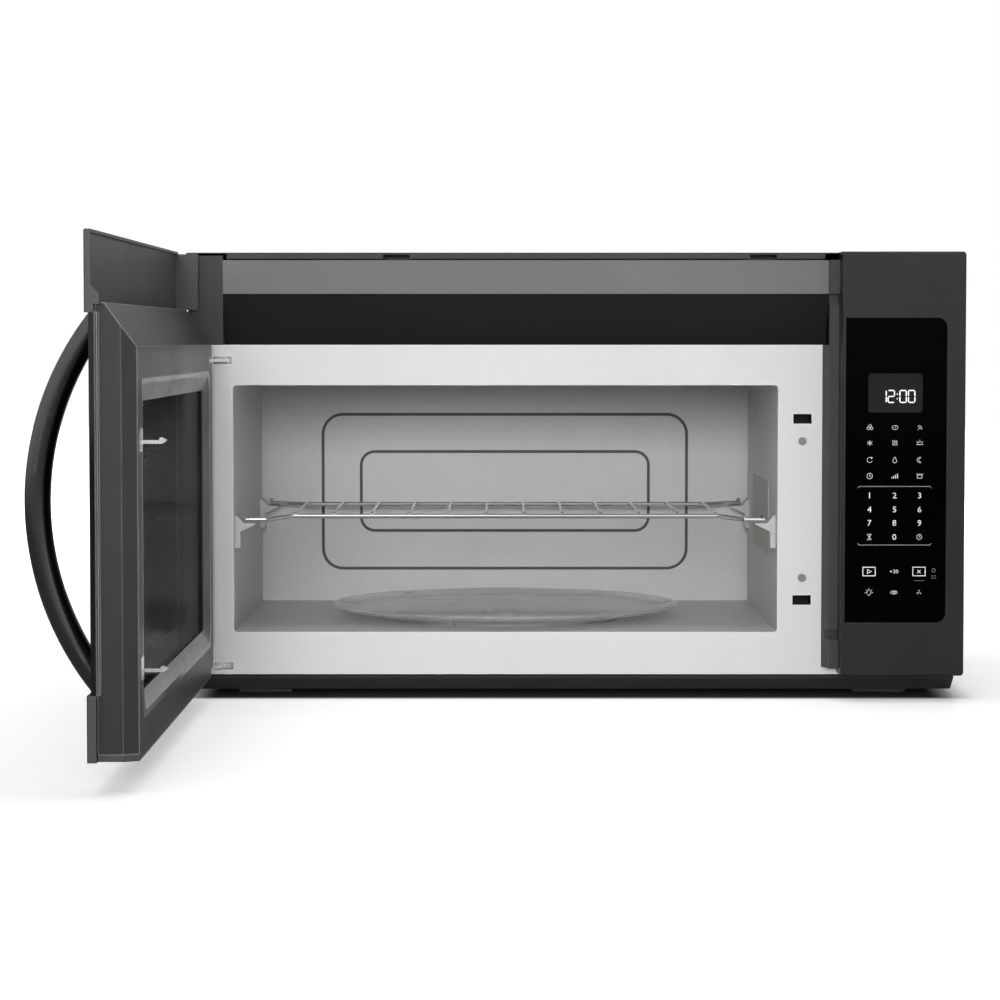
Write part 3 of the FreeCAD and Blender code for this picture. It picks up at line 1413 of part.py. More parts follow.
def blower_housing():
    """The double scroll on the oven's top: two wheel chambers either side of the motor."""
    body = new_body("blower_housing")
    wall = S.blower_wall
    end = CHAMBER_OUTER + wall
    reach = BLOWER_RADIUS + wall
    pad(body, "YZ", OVEN_X - end, OVEN_X + end,
        rectangle(BLOWER_Y - reach, BLOWER_Z - reach, BLOWER_Y + reach, BLOWER_Z + reach))
    chamber = circle(BLOWER_Y, BLOWER_Z, BLOWER_RADIUS)
    inlet = circle(BLOWER_Y, BLOWER_Z, S.blower_inlet)
    for side in (-1, 1):
        spans = ((CHAMBER_INNER, CHAMBER_OUTER, chamber), (CHAMBER_OUTER, end, inlet))
        for near, far, outline in spans:
            low, high = (near, far) if side > 0 else (-far, -near)
            pocket(body, "YZ", OVEN_X + low, OVEN_X + high, outline)
        near, far = (CHAMBER_INNER, CHAMBER_OUTER) if side > 0 else (-CHAMBER_OUTER,
                                                                     -CHAMBER_INNER)
        pocket(body, "XZ", BLOWER_Y - reach, BLOWER_Y,
               rectangle(OVEN_X + near, BLOWER_Z + S.blower_cutoff, OVEN_X + far,
                         BLOWER_Z + BLOWER_RADIUS))
    half = S.motor_length / 2
    pocket(body, "YZ", OVEN_X - half, OVEN_X + half,
           circle(BLOWER_Y, BLOWER_Z, S.motor_radius + S.motor_play))
    pocket(body, "YZ", OVEN_X - CHAMBER_INNER, OVEN_X + CHAMBER_INNER,
           circle(BLOWER_Y, BLOWER_Z, S.shaft_passage))
    return body


def blower_motor():
    """The blower's motor, held between the chambers, bored for the shaft."""
    body = new_body("blower_motor")
    half = S.motor_length / 2
    pad(body, "YZ", -half, half, circle(0, 0, S.motor_radius),
        circle(0, 0, S.rotor_shaft + S.shaft_fit))
    return place(body, x=OVEN_X, y=BLOWER_Y, z=BLOWER_Z)


def blower_shaft():
    """The shaft through the motor that carries both wheels."""
    body = new_body("blower_shaft")
    end = CHAMBER_INNER + S.blower_gap + S.wheel_hub_length
    pad(body, "YZ", -end, end, circle(0, 0, S.rotor_shaft))
    return place(body, x=OVEN_X, y=BLOWER_Y, z=BLOWER_Z)


def blower_wheel(side, name):
    """A squirrel-cage wheel: a disc with a hub, blades all round and a rim at the mouth."""
    body = new_body(name)
    near = CHAMBER_INNER + S.blower_gap
    far = near + S.wheel_width

    def span(start, stop):
        return (start, stop) if side > 0 else (-stop, -start)

    radius = S.wheel_radius
    pad(body, "YZ", *span(near, near + S.blower_wall), circle(0, 0, radius))
    half = S.wheel_blade_thick / 2
    blade = pad(body, "YZ", *span(near, far),
                rectangle(radius - S.wheel_blade_depth, -half, radius - S.wheel_rim / 2, half))
    repeat_round(body, blade, S.wheel_blades, "X")
    pad(body, "YZ", *span(far - S.wheel_rim, far), circle(0, 0, radius),
        circle(0, 0, radius - S.wheel_rim))
    pad(body, "YZ", *span(near, near + S.wheel_hub_length), circle(0, 0, S.wheel_hub))
    pocket(body, "YZ", *span(near, near + S.wheel_hub_length),
           circle(0, 0, S.rotor_shaft + S.shaft_fit))
    return place(body, x=OVEN_X, y=BLOWER_Y, z=BLOWER_Z)


# ---------------------------------------------------------------- hinges
def hinge_arm(name, low, pin_side, pin_length):
    """A hinge arm fixed behind the front frame, reaching through its slot to the pin."""
    body = new_body(name)
    high = low + S.hinge_plate
    left = LEFT + S.arm_inset
    right = left + S.arm_width
    inner = FRONT + S.arm_tail
    lean_x, lean_y = S.hinge_eye * S.arm_lean_x, S.hinge_eye * S.arm_lean_y
    pad(body, "XY", low, high,
        polygon((left, inner), (left, FRONT - S.arm_knee), (PIVOT_X - lean_x, PIVOT_Y + lean_y),
                (PIVOT_X + lean_x, PIVOT_Y - lean_y), (right, FRONT - S.arm_elbow),
                (right, inner)))
    pad(body, "XY", low, high, circle(PIVOT_X, PIVOT_Y, S.hinge_eye))
    back = FRONT + S.frame_sheet
    middle = low + S.hinge_plate / 2
    pad(body, "XZ", back, back + S.hinge_plate,
        rectangle(left - S.arm_flange, middle - S.arm_flange, right + S.arm_flange / 2,
                  middle + S.arm_flange))
    if pin_side > 0:
        pad(body, "XY", high, high + pin_length, circle(PIVOT_X, PIVOT_Y, S.hinge_pin))
    else:
        pad(body, "XY", low - pin_length, low, circle(PIVOT_X, PIVOT_Y, S.hinge_pin))
    return body


def door_ear(name, low, tab_side):
    """A bored ear on the choke frame's end that turns on a hinge arm's pin."""
    body = new_body(name)
    high = low + S.ear_thick
    reach = S.ear_radius
    bore = circle(PIVOT_X, PIVOT_Y, S.hinge_pin + S.hinge_fit)
    pad(body, "XY", low, high, rectangle(PIVOT_X, PIVOT_Y - reach, CHOKE_LEFT, PIVOT_Y + reach))
    pad(body, "XY", low, high, circle(PIVOT_X, PIVOT_Y, reach))
    tab = (low, low + S.ear_tab) if tab_side > 0 else (high - S.ear_tab, high)
    pad(body, "XY", *tab,
        rectangle(CHOKE_LEFT - S.choke_sheet, PIVOT_Y - reach, CHOKE_LEFT, PIVOT_Y + reach))
    pocket(body, "XY", low, high, bore)
    return swing_open(body)


# ---------------------------------------------------------------- door
def door_top_band():
    """The door's upper band: a shallow folded face with a return at the hinge side."""
    body = new_body("door_top_band")
    face, edge = S.band_face, S.band_edge
    low = GLASS_HIGH
    pad(body, "YZ", LEFT, DOOR_RIGHT,
        polygon((PANEL_FRONT, low), (GLASS_BACK, low), (GLASS_BACK, CHOKE_TOP),
                (PANEL_FRONT + face, CHOKE_TOP), (PANEL_FRONT + face, TOP - face),
                (PANEL_FRONT + edge, TOP - face), (PANEL_FRONT + edge, TOP), (PANEL_FRONT, TOP)))
    dress(body, "Fillet", S.band_round,
          lambda line: at(PANEL_FRONT, line.BoundBox.YMax) and at(TOP, line.BoundBox.ZMin))
    step = CHOKE_TOP + S.flange_step
    pad(body, "YZ", DOOR_RIGHT - face, DOOR_RIGHT,
        polygon((PANEL_FRONT + face / 2, CHOKE_TOP - face / 2),
                (PANEL_FRONT + S.flange_low_depth, CHOKE_TOP - face / 2),
                (PANEL_FRONT + S.flange_low_depth, step), (PANEL_FRONT + edge, step + S.flange_slope),
                (PANEL_FRONT + edge, TOP - face / 2), (PANEL_FRONT + face / 2, TOP - face / 2)))
    end = PANEL_FRONT + S.band_return
    tab_low, tab_high = TOP - S.band_tab_drop, TOP - S.band_tab_lip
    pad(body, "YZ", LEFT, LEFT + face,
        polygon((PANEL_FRONT + face / 2, CHOKE_TOP), (end, CHOKE_TOP), (end, tab_low),
                (end - S.band_tab_end, tab_high), (PANEL_FRONT + S.band_tab_start, tab_high),
                (PANEL_FRONT + S.band_tab_start, tab_low), (PANEL_FRONT + face / 2, tab_low)))
    return swing_open(body)


def door_bottom_band():
    """The door's lower band: hollow behind its face, with a return under the choke frame."""
    body = new_body("door_bottom_band")
    face = S.band_face
    pad(body, "XZ", PANEL_FRONT, GLASS_BACK,
        rectangle(LEFT, S.panel_foot, DOOR_RIGHT, S.glass_low))
    pocket(body, "XZ", PANEL_FRONT + face, GLASS_BACK,
           rectangle(LEFT + face, S.panel_foot + face, DOOR_RIGHT - face, S.glass_low - face))
    for height, outline in band_return():
        pad(body, "XY", S.panel_foot, S.panel_foot + height, outline)
    return swing_open(body)


def band_return():
    """The lower band's return as heights and outlines: its floor, and the lip up its free end."""
    wrap = S.band_wrap
    left = CHOKE_LEFT + S.notch_length + S.notch_play
    knee = DOOR_BACK - S.jamb_depth
    end = CHOKE_RIGHT - S.jamb_slant
    floor = polygon((left, GLASS_BACK), (CHOKE_RIGHT, GLASS_BACK), (CHOKE_RIGHT, knee),
                    (end, DOOR_BACK), (left, DOOR_BACK))
    lip = polygon((CHOKE_RIGHT - wrap, GLASS_BACK), (CHOKE_RIGHT, GLASS_BACK), (CHOKE_RIGHT, knee),
                  (end, DOOR_BACK), (end - wrap, DOOR_BACK), (CHOKE_RIGHT - wrap, knee))
    return (wrap, floor), (S.band_lip, lip)


def door_glass():
    """The outer glass between the two bands."""
    body = new_body("door_glass")
    pad(body, "XZ", GLASS_FRONT, GLASS_BACK,
        rectangle(LEFT + S.glass_edge, S.glass_low, DOOR_RIGHT - S.glass_edge, GLASS_HIGH))
    return swing_open(body)


def door_choke():
    """The steel choke frame: sloping top, bevelled free end, window tunnel, latch slots."""
    body = new_body("door_choke")
    wall = S.choke_sheet
    low = S.panel_foot
    pad(body, "YZ", CHOKE_LEFT, CHOKE_RIGHT,
        polygon((GLASS_BACK, low), (DOOR_BACK, low), (DOOR_BACK, FRAME_TOP),
                (PANEL_FRONT + S.choke_back, CHOKE_TOP), (GLASS_BACK, CHOKE_TOP)))
    pocket(body, "YZ", CHOKE_LEFT + wall, CHOKE_RIGHT - S.jamb_slant - wall,
           polygon((GLASS_BACK, low + wall), (DOOR_BACK - wall, low + wall),
                   (DOOR_BACK - wall, FRAME_TOP - wall / 2),
                   (PANEL_FRONT + S.choke_back - wall / 2, CHOKE_TOP - wall),
                   (GLASS_BACK, CHOKE_TOP - wall)))
    pocket(body, "XY", low, CHOKE_TOP,
           polygon((CHOKE_RIGHT, DOOR_BACK - S.jamb_depth), (CHOKE_RIGHT, DOOR_BACK),
                   (CHOKE_RIGHT - S.jamb_slant, DOOR_BACK)))
    pad(body, "XZ", GLASS_BACK, GLASS_BACK + S.choke_flange,
        rectangle(CHOKE_RIGHT - wall, S.glass_low, CHOKE_RIGHT + S.choke_flange_reach, GLASS_HIGH))
    for height, outline in band_return():
        pocket(body, "XY", low, low + height, outline)
    pad(body, "XZ", GLASS_BACK, DOOR_BACK,
        rectangle(WINDOW_LEFT - wall, S.window_low - wall, WINDOW_RIGHT + wall,
                  WINDOW_TOP + wall))
    pocket(body, "XZ", GLASS_BACK, DOOR_BACK, window_outline(0))
    notch_back = PIVOT_Y - S.notch_depth
    notch_right = CHOKE_LEFT + S.notch_length
    for notch_low, notch_high in (
            (low, S.hinge_low + S.hinge_plate + S.notch_play),
            (S.hinge_high - S.notch_play, S.hinge_high + S.hinge_plate + S.notch_play)):
        pocket(body, "XY", notch_low, notch_high,
               rectangle(CHOKE_LEFT, notch_back, notch_right, DOOR_BACK))
    half = S.latch_thick / 2 + S.latch_play
    for middle in (S.latch_low, S.latch_low + S.latch_spacing):
        pocket(body, "XZ", DOOR_BACK - wall, DOOR_BACK,
               rectangle(LATCH_X - half, middle - S.hook_low - S.latch_play, LATCH_X + half,
                         middle + S.hook_high + S.latch_travel + S.latch_play))
    return swing_open(body)


def window_outline(inset):
    """The window's outline, round-cornered, drawn in from the tunnel's wall by an inset."""
    return rounded(WINDOW_LEFT + inset, S.window_low + inset, WINDOW_RIGHT - inset,
                   WINDOW_TOP - inset, S.window_corner)


def choke_trim():
    """The bevelled trim that frames the window on the door's inner face."""
    body = new_body("choke_trim")
    width = S.trim_width
    front = DOOR_BACK - S.trim_depth
    pad(body, "XZ", front, DOOR_BACK, window_outline(0), window_outline(width))
    inner_left, inner_right = WINDOW_LEFT + width, WINDOW_RIGHT - width

    def inner_rim(edge):
        """Whether an edge belongs to the opening on the side that faces the oven."""
        box = edge.BoundBox
        inside = (box.XMin > inner_left.number - 0.01 and box.XMax < inner_right.number + 0.01)
        return inside and at(DOOR_BACK, box.YMin) and at(DOOR_BACK, box.YMax)

    bevel = dress(body, "Chamfer", S.trim_depth - S.trim_land, inner_rim)
    bevel.ChamferType = "Two distances"
    bind(bevel, "Size2", S.trim_slope)
    return swing_open(body)


def door_sheet(name, near, far):
    """A flat sheet that fills the window tunnel between two depths."""
    body = new_body(name)
    pad(body, "XZ", near, far, window_outline(0))
    return swing_open(body)


def door_handle():
    """The arched handle: thick at its feet on the glass, slimmer at the middle."""
    body = new_body("door_handle")
    middle = (S.glass_low + GLASS_HIGH) / 2
    glass_height = GLASS_HIGH - S.glass_low
    outer_half = (glass_height + S.handle_length) / 2
    inner_half = (glass_height - S.handle_inner_length) / 2
    left = DOOR_RIGHT - S.handle_column - S.handle_width / 2
    pad(body, "YZ", left, left + S.handle_width,
        crescent(GLASS_FRONT, middle, (outer_half, S.handle_reach),
                 (inner_half, S.handle_inner_reach)))
    near = GLASS_FRONT - S.handle_reach / 2
    for low, high in ((middle - outer_half, S.glass_low + S.handle_foot_gap),
                      (GLASS_HIGH - S.handle_foot_gap, middle + outer_half)):
        pocket(body, "YZ", left, left + S.handle_width, rectangle(near, low, GLASS_FRONT, high))
    dress(body, "Fillet", S.handle_round,
          lambda edge: isinstance(edge.Curve, Part.Circle) and edge.Length > inner_half.number)
    return swing_open(body)


def crescent(chord, middle, outer, inner):
    """Two arcs bowed to one side of an upright chord, joined along it at both feet."""
    def draw(sketch):
        arcs = []
        for half, reach in (outer, inner):
            radius = (half * half + reach * reach) / (reach * 2)
            centre_x = chord + radius - reach
            spread = math.asin(half.number / radius.number)
            whole = Part.Circle(FreeCAD.Vector(centre_x.number, middle.number, 0),
                                FreeCAD.Vector(0, 0, 1), radius.number)
            arc = sketch.addGeometry(
                Part.ArcOfCircle(whole, math.pi - spread, math.pi + spread), False)
            hold_point(sketch, arc, START, chord, middle + half)
            hold_point(sketch, arc, END, chord, middle - half)
            hold(sketch, "Radius", arc, value=radius)
            arcs.append((arc, half))
        (outer_arc, outer_half), (inner_arc, inner_half) = arcs
        for end, side in ((START, 1), (END, -1)):
            foot = add_line(sketch, (chord, middle + side * outer_half),
                            (chord, middle + side * inner_half))
            sketch.addConstraint(Sketcher.Constraint("Coincident", foot, START, outer_arc, end))
            sketch.addConstraint(Sketcher.Constraint("Coincident", foot, END, inner_arc, end))
    return draw


def latch_bar():
    """The sliding latch bar in the choke: two hooks, each with a plate on the door's face."""
    body = new_body("latch_bar")
    half = S.latch_thick / 2
    wall = S.choke_sheet
    bar_back = DOOR_BACK - wall - S.latch_play
    first, second = S.latch_low, S.latch_low + S.latch_spacing
    pad(body, "YZ", LATCH_X - half, LATCH_X + half,
        rectangle(bar_back - S.latch_bar_depth, first - S.latch_bar_end, bar_back,
                  second + S.latch_bar_end))
    tip = DOOR_BACK + S.latch_reach
    face = DOOR_BACK + S.latch_plate_gap
    for middle in (first, second):
        pad(body, "XZ", face, face + S.latch_plate_thick,
            rectangle(LATCH_X - S.latch_plate, middle - S.latch_plate_high, LATCH_X + S.latch_plate,
                      middle + S.latch_plate_high))
        low, shelf, high = middle - S.hook_low, middle - S.hook_shelf, middle + S.hook_high
        pad(body, "YZ", LATCH_X - half, LATCH_X + half,
            polygon((bar_back - S.latch_bar_depth / 2, low), (tip - S.hook_nose, low),
                    (tip, shelf), (tip - S.hook_nose, high), (tip - S.hook_nose - S.hook_barb, high),
                    (tip - S.hook_nose - S.hook_barb, shelf),
                    (bar_back - S.latch_bar_depth / 2, shelf)))
    return swing_open(body)


# ---------------------------------------------------------------- build, check and write
def build():
    """Makes every sub-part and returns them in a list."""
    parts = [outer_case(), back_plate(), base_pan(), front_frame(), interlock_block(),
             deflector(), air_ramp(), top_rail(), left_post(),
             control_bezel(), control_glass(), display_module(), control_board(), panel_jamb(),
             cavity_liner(), roller_track(), waveguide_cover(), waveguide(), magnetron(),
             cavity_lamp(),
             wire_rack(), turntable_motor(), turntable_coupler(), glass_tray(), roller_ring(),
             transformer(), capacitor(), cord_gland(), fan_housing(), cooling_fan(),
             blower_housing(), blower_motor(), blower_shaft()]
    for side, word in ((-1, "left"), (1, "right")):
        parts.append(grease_filter(side, f"grease_filter_{word}"))
        parts.append(lamp_lens(side, f"lamp_lens_{word}"))
        parts.append(blower_wheel(side, f"blower_wheel_{word}"))
        for depth, end in ((S.clip_front, "front"), (S.clip_front + S.clip_span, "back")):
            parts.append(rack_clip(side, FRONT + depth, f"rack_clip_{end}_{word}"))
    parts += [roller(number) for number in range(SIZES["roller_count"])]
    parts.append(hinge_arm("hinge_arm_lower", S.hinge_low, 1, S.pin_length_low))
    parts.append(hinge_arm("hinge_arm_upper", S.hinge_high, -1, S.pin_length_high))
    lower_ear = S.hinge_low + S.hinge_plate + S.ear_gap
    upper_ear = S.hinge_high - S.ear_gap - S.ear_thick
    parts += [door_ear("door_ear_lower", lower_ear, 1),
              door_ear("door_ear_upper", upper_ear, -1)]
    window_far = DOOR_BACK - S.trim_depth
    window_near = window_far - S.window_thick
    parts += [door_top_band(), door_bottom_band(), door_glass(), door_choke(), choke_trim(),
              door_sheet("inner_window", window_near, window_far),
              door_sheet("window_screen", window_near - S.screen_thick, window_near),
              door_handle(), latch_bar()]
    return parts


def faults(parts):
    """Every object that failed to build, pocket that cut nothing and shape that is unsound."""
    found = []
    for item in document.Objects:
        if "Invalid" in item.State or "Error" in item.State:
            found.append(f"{item.Label}: {item.State}")
    for cut in pockets:
        if cut.BaseFeature is None or cut.Shape.Volume >= cut.BaseFeature.Shape.Volume - 1e-6:
            found.append(f"{cut.Label}: removes nothing")
    for part in parts:
        shape = part.Shape
        if shape.isNull() or not shape.isValid():
            found.append(f"{part.Label}: unsound shape")
        elif len(shape.Solids) != 1:
            found.append(f"{part.Label}: {len(shape.Solids)} solids")
    return found


all_parts = build()
document.recompute()
problems = faults(all_parts)
for part in all_parts:
    print(f"{part.Label:24s} {part.Shape.Volume / 1000:10.2f} cm3  {part.Shape.BoundBox}")
if problems:
    raise SystemExit("\n".join(problems))
for part in all_parts:
    part.Shape.exportStep(f"parts/{part.Label}.step")
print(len(all_parts), "sub-parts written")
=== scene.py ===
"""Looks of an over-the-range microwave oven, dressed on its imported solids.

Everything stands in the solids' own frame, in metres: X to the right as one faces the oven, Y back
to the wall, Z up.  Only the marks on the control glass are drawn in millimetres.
"""
import math

import bpy
import numpy as np
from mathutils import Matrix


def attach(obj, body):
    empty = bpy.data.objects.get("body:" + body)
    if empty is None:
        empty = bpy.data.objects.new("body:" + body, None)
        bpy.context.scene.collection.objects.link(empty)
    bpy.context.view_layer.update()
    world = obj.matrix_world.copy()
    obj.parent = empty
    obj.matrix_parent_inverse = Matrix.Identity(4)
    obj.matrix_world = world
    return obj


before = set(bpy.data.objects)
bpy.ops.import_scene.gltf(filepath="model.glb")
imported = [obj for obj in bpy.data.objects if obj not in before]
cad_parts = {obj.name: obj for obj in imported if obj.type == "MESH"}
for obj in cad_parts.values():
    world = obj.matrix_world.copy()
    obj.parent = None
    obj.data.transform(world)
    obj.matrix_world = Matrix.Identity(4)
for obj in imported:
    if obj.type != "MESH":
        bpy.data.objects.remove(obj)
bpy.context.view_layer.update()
scene = bpy.context.scene
MM = 0.001

# ---------------------------------------------------------------- camera
EYE = (-0.0727, -3.1590, 0.3514)
DOWNWARD_TILT = 0.0535
FOCAL_LENGTH, SENSOR_WIDTH = 108.37, 36.0
lens = bpy.data.cameras.new("camera")
lens.lens, lens.sensor_width, lens.sensor_fit = FOCAL_LENGTH, SENSOR_WIDTH, "HORIZONTAL"
lens.clip_start, lens.clip_end = 0.05, 60.0
camera = bpy.data.objects.new("camera", lens)
camera.location = EYE
camera.rotation_euler = (math.pi / 2 - DOWNWARD_TILT, 0.0, 0.0)
scene.collection.objects.link(camera)
scene.camera = camera


# ---------------------------------------------------------------- shader groups
def new_group(name, inputs, outputs):
    """An empty shader group with the named sockets: {name: (kind, value)} and {name: kind}."""
    group = bpy.data.node_groups.new(name, "ShaderNodeTree")
    for label, (kind, value) in inputs.items():
        made = group.interface.new_socket(label, in_out="INPUT", socket_type="NodeSocket" + kind)
        made.default_value = value
    for label, kind in outputs.items():
        group.interface.new_socket(label, in_out="OUTPUT", socket_type="NodeSocket" + kind)
    return group, group.nodes.new("NodeGroupInput"), group.nodes.new("NodeGroupOutput")


def add(tree, kind, settings=(), **sockets):
    """A node of one kind; settings are its own fields, sockets are links or plain values."""
    node = tree.nodes.new("ShaderNode" + kind)
    for field, value in dict(settings).items():
        setattr(node, field, value)
    for label, value in sockets.items():
        numbered = label[0] == "i" and label[1:].isdigit()
        target = node.inputs[int(label[1:]) if numbered else label.replace("_", " ")]
        if isinstance(value, bpy.types.NodeSocket):
            tree.links.new(value, target)
        else:
            target.default_value = value
    return node


def maths(tree, operation, *values):
    """The result of one sum on links or plain numbers."""
    given = {f"i{place}": value for place, value in enumerate(values)}
    return add(tree, "Math", {"operation": operation}, **given).outputs[0]


def ramp(tree, value, low, high, start=0.0, stop=1.0, smooth=False):
    """A value carried from one range to another, and held at both ends."""
    way = {"interpolation_type": "SMOOTHSTEP" if smooth else "LINEAR"}
    return add(tree, "MapRange", way, Value=value, From_Min=low, From_Max=high, To_Min=start,
               To_Max=stop).outputs[0]


def mix_values(tree, share, first, second):
    """A value between two, by a share."""
    return add(tree, "Mix", {"data_type": "FLOAT"}, i0=share, i2=first, i3=second).outputs[0]


def mix_colours(tree, share, first, second):
    """A colour between two, by a share."""
    return add(tree, "Mix", {"data_type": "RGBA"}, i0=share, i6=first, i7=second).outputs[2]


def place_on_piece(tree):
    """Where a point lies on its own piece, in metres."""
    return add(tree, "TexCoord").outputs["Object"]


def brushed_group():
    """Long scratches: noise read on coordinates stretched along the grain."""
    group, given, gives = new_group(
        "brushed_grain",
        {"Stretch": ("Vector", (1.0, 1.0, 1.0)), "Detail": ("Float", 3.0)}, {"Mask": "Float"})
    stretched = add(group, "VectorMath", {"operation": "MULTIPLY"}, i0=place_on_piece(group),
                    i1=given.outputs["Stretch"])
    noise = add(group, "TexNoise", Vector=stretched.outputs[0], Scale=1.0,
                Detail=given.outputs["Detail"], Roughness=0.65)
    group.links.new(noise.outputs["Fac"], gives.inputs["Mask"])
    return group


def mottle_group():
    """A soft uneven film, as of handling and cleaning: broad noise with a share of finer noise."""
    finer, share = 7.0, 0.3
    group, given, gives = new_group(
        "uneven_film", {"Scale": ("Float", 6.0)}, {"Mask": "Float"})
    where, scale = place_on_piece(group), given.outputs["Scale"]
    broad = add(group, "TexNoise", Vector=where, Scale=scale, Detail=4.0, Roughness=0.55)
    small = add(group, "TexNoise", Vector=where, Scale=maths(group, "MULTIPLY", scale, finer),
                Detail=2.0)
    most = maths(group, "MULTIPLY", broad.outputs["Fac"], 1.0 - share)
    film = maths(group, "MULTIPLY_ADD", small.outputs["Fac"], share, most)
    group.links.new(film, gives.inputs["Mask"])
    return group


def fleck_group():
    """Scattered flecks in an enamel: the near cells of a cell noise, each cell its own shade."""
    group, given, gives = new_group(
        "enamel_flecks", {"Scale": ("Float", 900.0), "Share": ("Float", 0.3)}, {"Mask": "Float"})
    cells = add(group, "TexVoronoi", Vector=place_on_piece(group), Scale=given.outputs["Scale"])
    shade = add(group, "SeparateColor", Color=cells.outputs["Color"])
    chosen = maths(group, "LESS_THAN", shade.outputs[0], given.outputs["Share"])
    near = maths(group, "LESS_THAN", cells.outputs["Distance"], 0.42)
    group.links.new(maths(group, "MULTIPLY", chosen, near), gives.inputs["Mask"])
    return group


def hole_group():
    """Round holes on a staggered grid across two axes, told by the distance to the nearest row."""
    group, given, gives = new_group(
        "punched_holes", {"Pitch": ("Float", 0.003), "Radius": ("Float", 0.001),
                          "Across": ("Vector", (0.0, 1.0, 0.0))}, {"Mask": "Float"})
    pitch, where = given.outputs["Pitch"], place_on_piece(group)
    along = add(group, "VectorMath", {"operation": "DOT_PRODUCT"}, i0=where,
                i1=given.outputs["Across"]).outputs["Value"]
    upward = add(group, "SeparateXYZ", Vector=where).outputs["Z"]
    distances = []
    for shift in (0.0, 0.5):
        squares = []
        for source, stretch in ((along, 1.0), (upward, ROW_SQUEEZE)):
            cell = maths(group, "MULTIPLY_ADD", maths(group, "DIVIDE", source, pitch), stretch,
                         shift)
            middle = maths(group, "SUBTRACT", maths(group, "FRACT", cell), 0.5)
            squares.append(maths(group, "POWER", maths(group, "DIVIDE", middle, stretch), 2.0))
        distances.append(maths(group, "SQRT", maths(group, "ADD", *squares)))
    size = maths(group, "DIVIDE", given.outputs["Radius"], pitch)
    hole = maths(group, "LESS_THAN", maths(group, "MINIMUM", *distances), size)
    group.links.new(hole, gives.inputs["Mask"])
    return group


def edge_group():
    """Painted edge highlight: how far the face's normal is from one rounded over the edge, as a
    mask for a lighter colour on the edges.
    """
    group, given, gives = new_group(
        "edge_light", {"Reach": ("Float", 0.002)}, {"Mask": "Float"})
    rounded = add(group, "Bevel", {"samples": 4}, Radius=given.outputs["Reach"])
    plain = add(group, "NewGeometry")
    agree = add(group, "VectorMath", {"operation": "DOT_PRODUCT"}, i0=rounded.outputs["Normal"],
                i1=plain.outputs["Normal"])
    group.links.new(ramp(group, agree.outputs["Value"], 0.995, 0.86), gives.inputs["Mask"])
    return group


ROW_SQUEEZE = 0.57735
BRUSHED, MOTTLE, FLECK, HOLES = brushed_group(), mottle_group(), fleck_group(), hole_group()
EDGES = edge_group()


# ---------------------------------------------------------------- finishes
MASK_RANGE = (0.3, 0.7)


def layers(tree, shades, rough, grain=None, grain_share=0.5, film=6.0, flecks=None, edge=None):
    """Colour, gloss and grain of one surface: the colour runs between two shades and the gloss
    between two values, by a mask that joins the grain's lines with a slow uneven film.

    flecks is (scale, share, colour); edge is the colour of a painted highlight on the edges, where
    they would catch light.
    """
    uneven = add(tree, "Group", {"node_tree": MOTTLE}, Scale=film)
    mask = uneven.outputs["Mask"]
    if grain:
        lines = add(tree, "Group", {"node_tree": BRUSHED}, Stretch=grain)
        mask = mix_values(tree, grain_share, mask, lines.outputs["Mask"])
    sharper = ramp(tree, mask, *MASK_RANGE)
    colour = mix_colours(tree, sharper, (*shades[0], 1.0), (*shades[1], 1.0))
    if flecks:
        scale, share, fleck_colour = flecks
        spots = add(tree, "Group", {"node_tree": FLECK}, Scale=scale, Share=share)
        colour = mix_colours(tree, spots.outputs["Mask"], colour, (*fleck_colour, 1.0))
    if edge:
        # Edges take a painted highlight: the edge colour laid over the surface's own colour.
        edge_highlight = add(tree, "Group", {"node_tree": EDGES})
        colour = mix_colours(tree, edge_highlight.outputs["Mask"], colour, (*edge, 1.0))
    gloss = ramp(tree, uneven.outputs["Mask"], *MASK_RANGE, *rough)
    return colour, gloss, mask


def start_finish(name, settings):
    """A new material with its shader; settings are plain numbers for the shader's own sockets."""
    made = bpy.data.materials.new(name)
    made.use_nodes = True
    shader = made.node_tree.nodes["Principled BSDF"]
    for label, value in settings.items():
        shader.inputs[label.replace("_", " ")].default_value = value
    return made, made.node_tree, shader


def finish(name, shades, rough, metal=0.0, bump=0.0, settings=(), **look):
    """One surface all over a piece; look holds what `layers` takes besides shades and gloss."""
    made, tree, shader = start_finish(name, dict(settings))
    colour, gloss, mask = layers(tree, shades, rough, **look)
    tree.links.new(colour, shader.inputs["Base Color"])
    tree.links.new(gloss, shader.inputs["Roughness"])
    if bump:
        height = add(tree, "Bump", Strength=1.0, Distance=bump, Height=mask)
        tree.links.new(height.outputs["Normal"], shader.inputs["Normal"])
    shader.inputs["Metallic"].default_value = metal
    return made


HALF_SEAM = 0.0001


def parted_finish(name, axis, edge, below, above, bump=0.0):
    """Two surfaces on one piece, parted where a coordinate passes an edge, in metres.

    below and above each hold the shades, rough and metal of one side, and what `layers` takes.
    """
    made, tree, shader = start_finish(name, {})
    where = add(tree, "SeparateXYZ", Vector=place_on_piece(tree)).outputs[axis]
    side = ramp(tree, where, edge - HALF_SEAM, edge + HALF_SEAM)
    sides = []
    for look in (dict(below), dict(above)):
        metal = look.pop("metal", 0.0)
        sides.append((*layers(tree, **look), metal))
    (low_colour, low_gloss, low_mask, low_metal), (colour, gloss, mask, metal) = sides
    tree.links.new(mix_colours(tree, side, low_colour, colour), shader.inputs["Base Color"])
    tree.links.new(mix_values(tree, side, low_gloss, gloss), shader.inputs["Roughness"])
    tree.links.new(mix_values(tree, side, low_metal, metal), shader.inputs["Metallic"])
    if bump:
        height = add(tree, "Bump", Strength=1.0, Distance=bump,
                     Height=mix_values(tree, side, low_mask, mask))
        tree.links.new(height.outputs["Normal"], shader.inputs["Normal"])
    return made


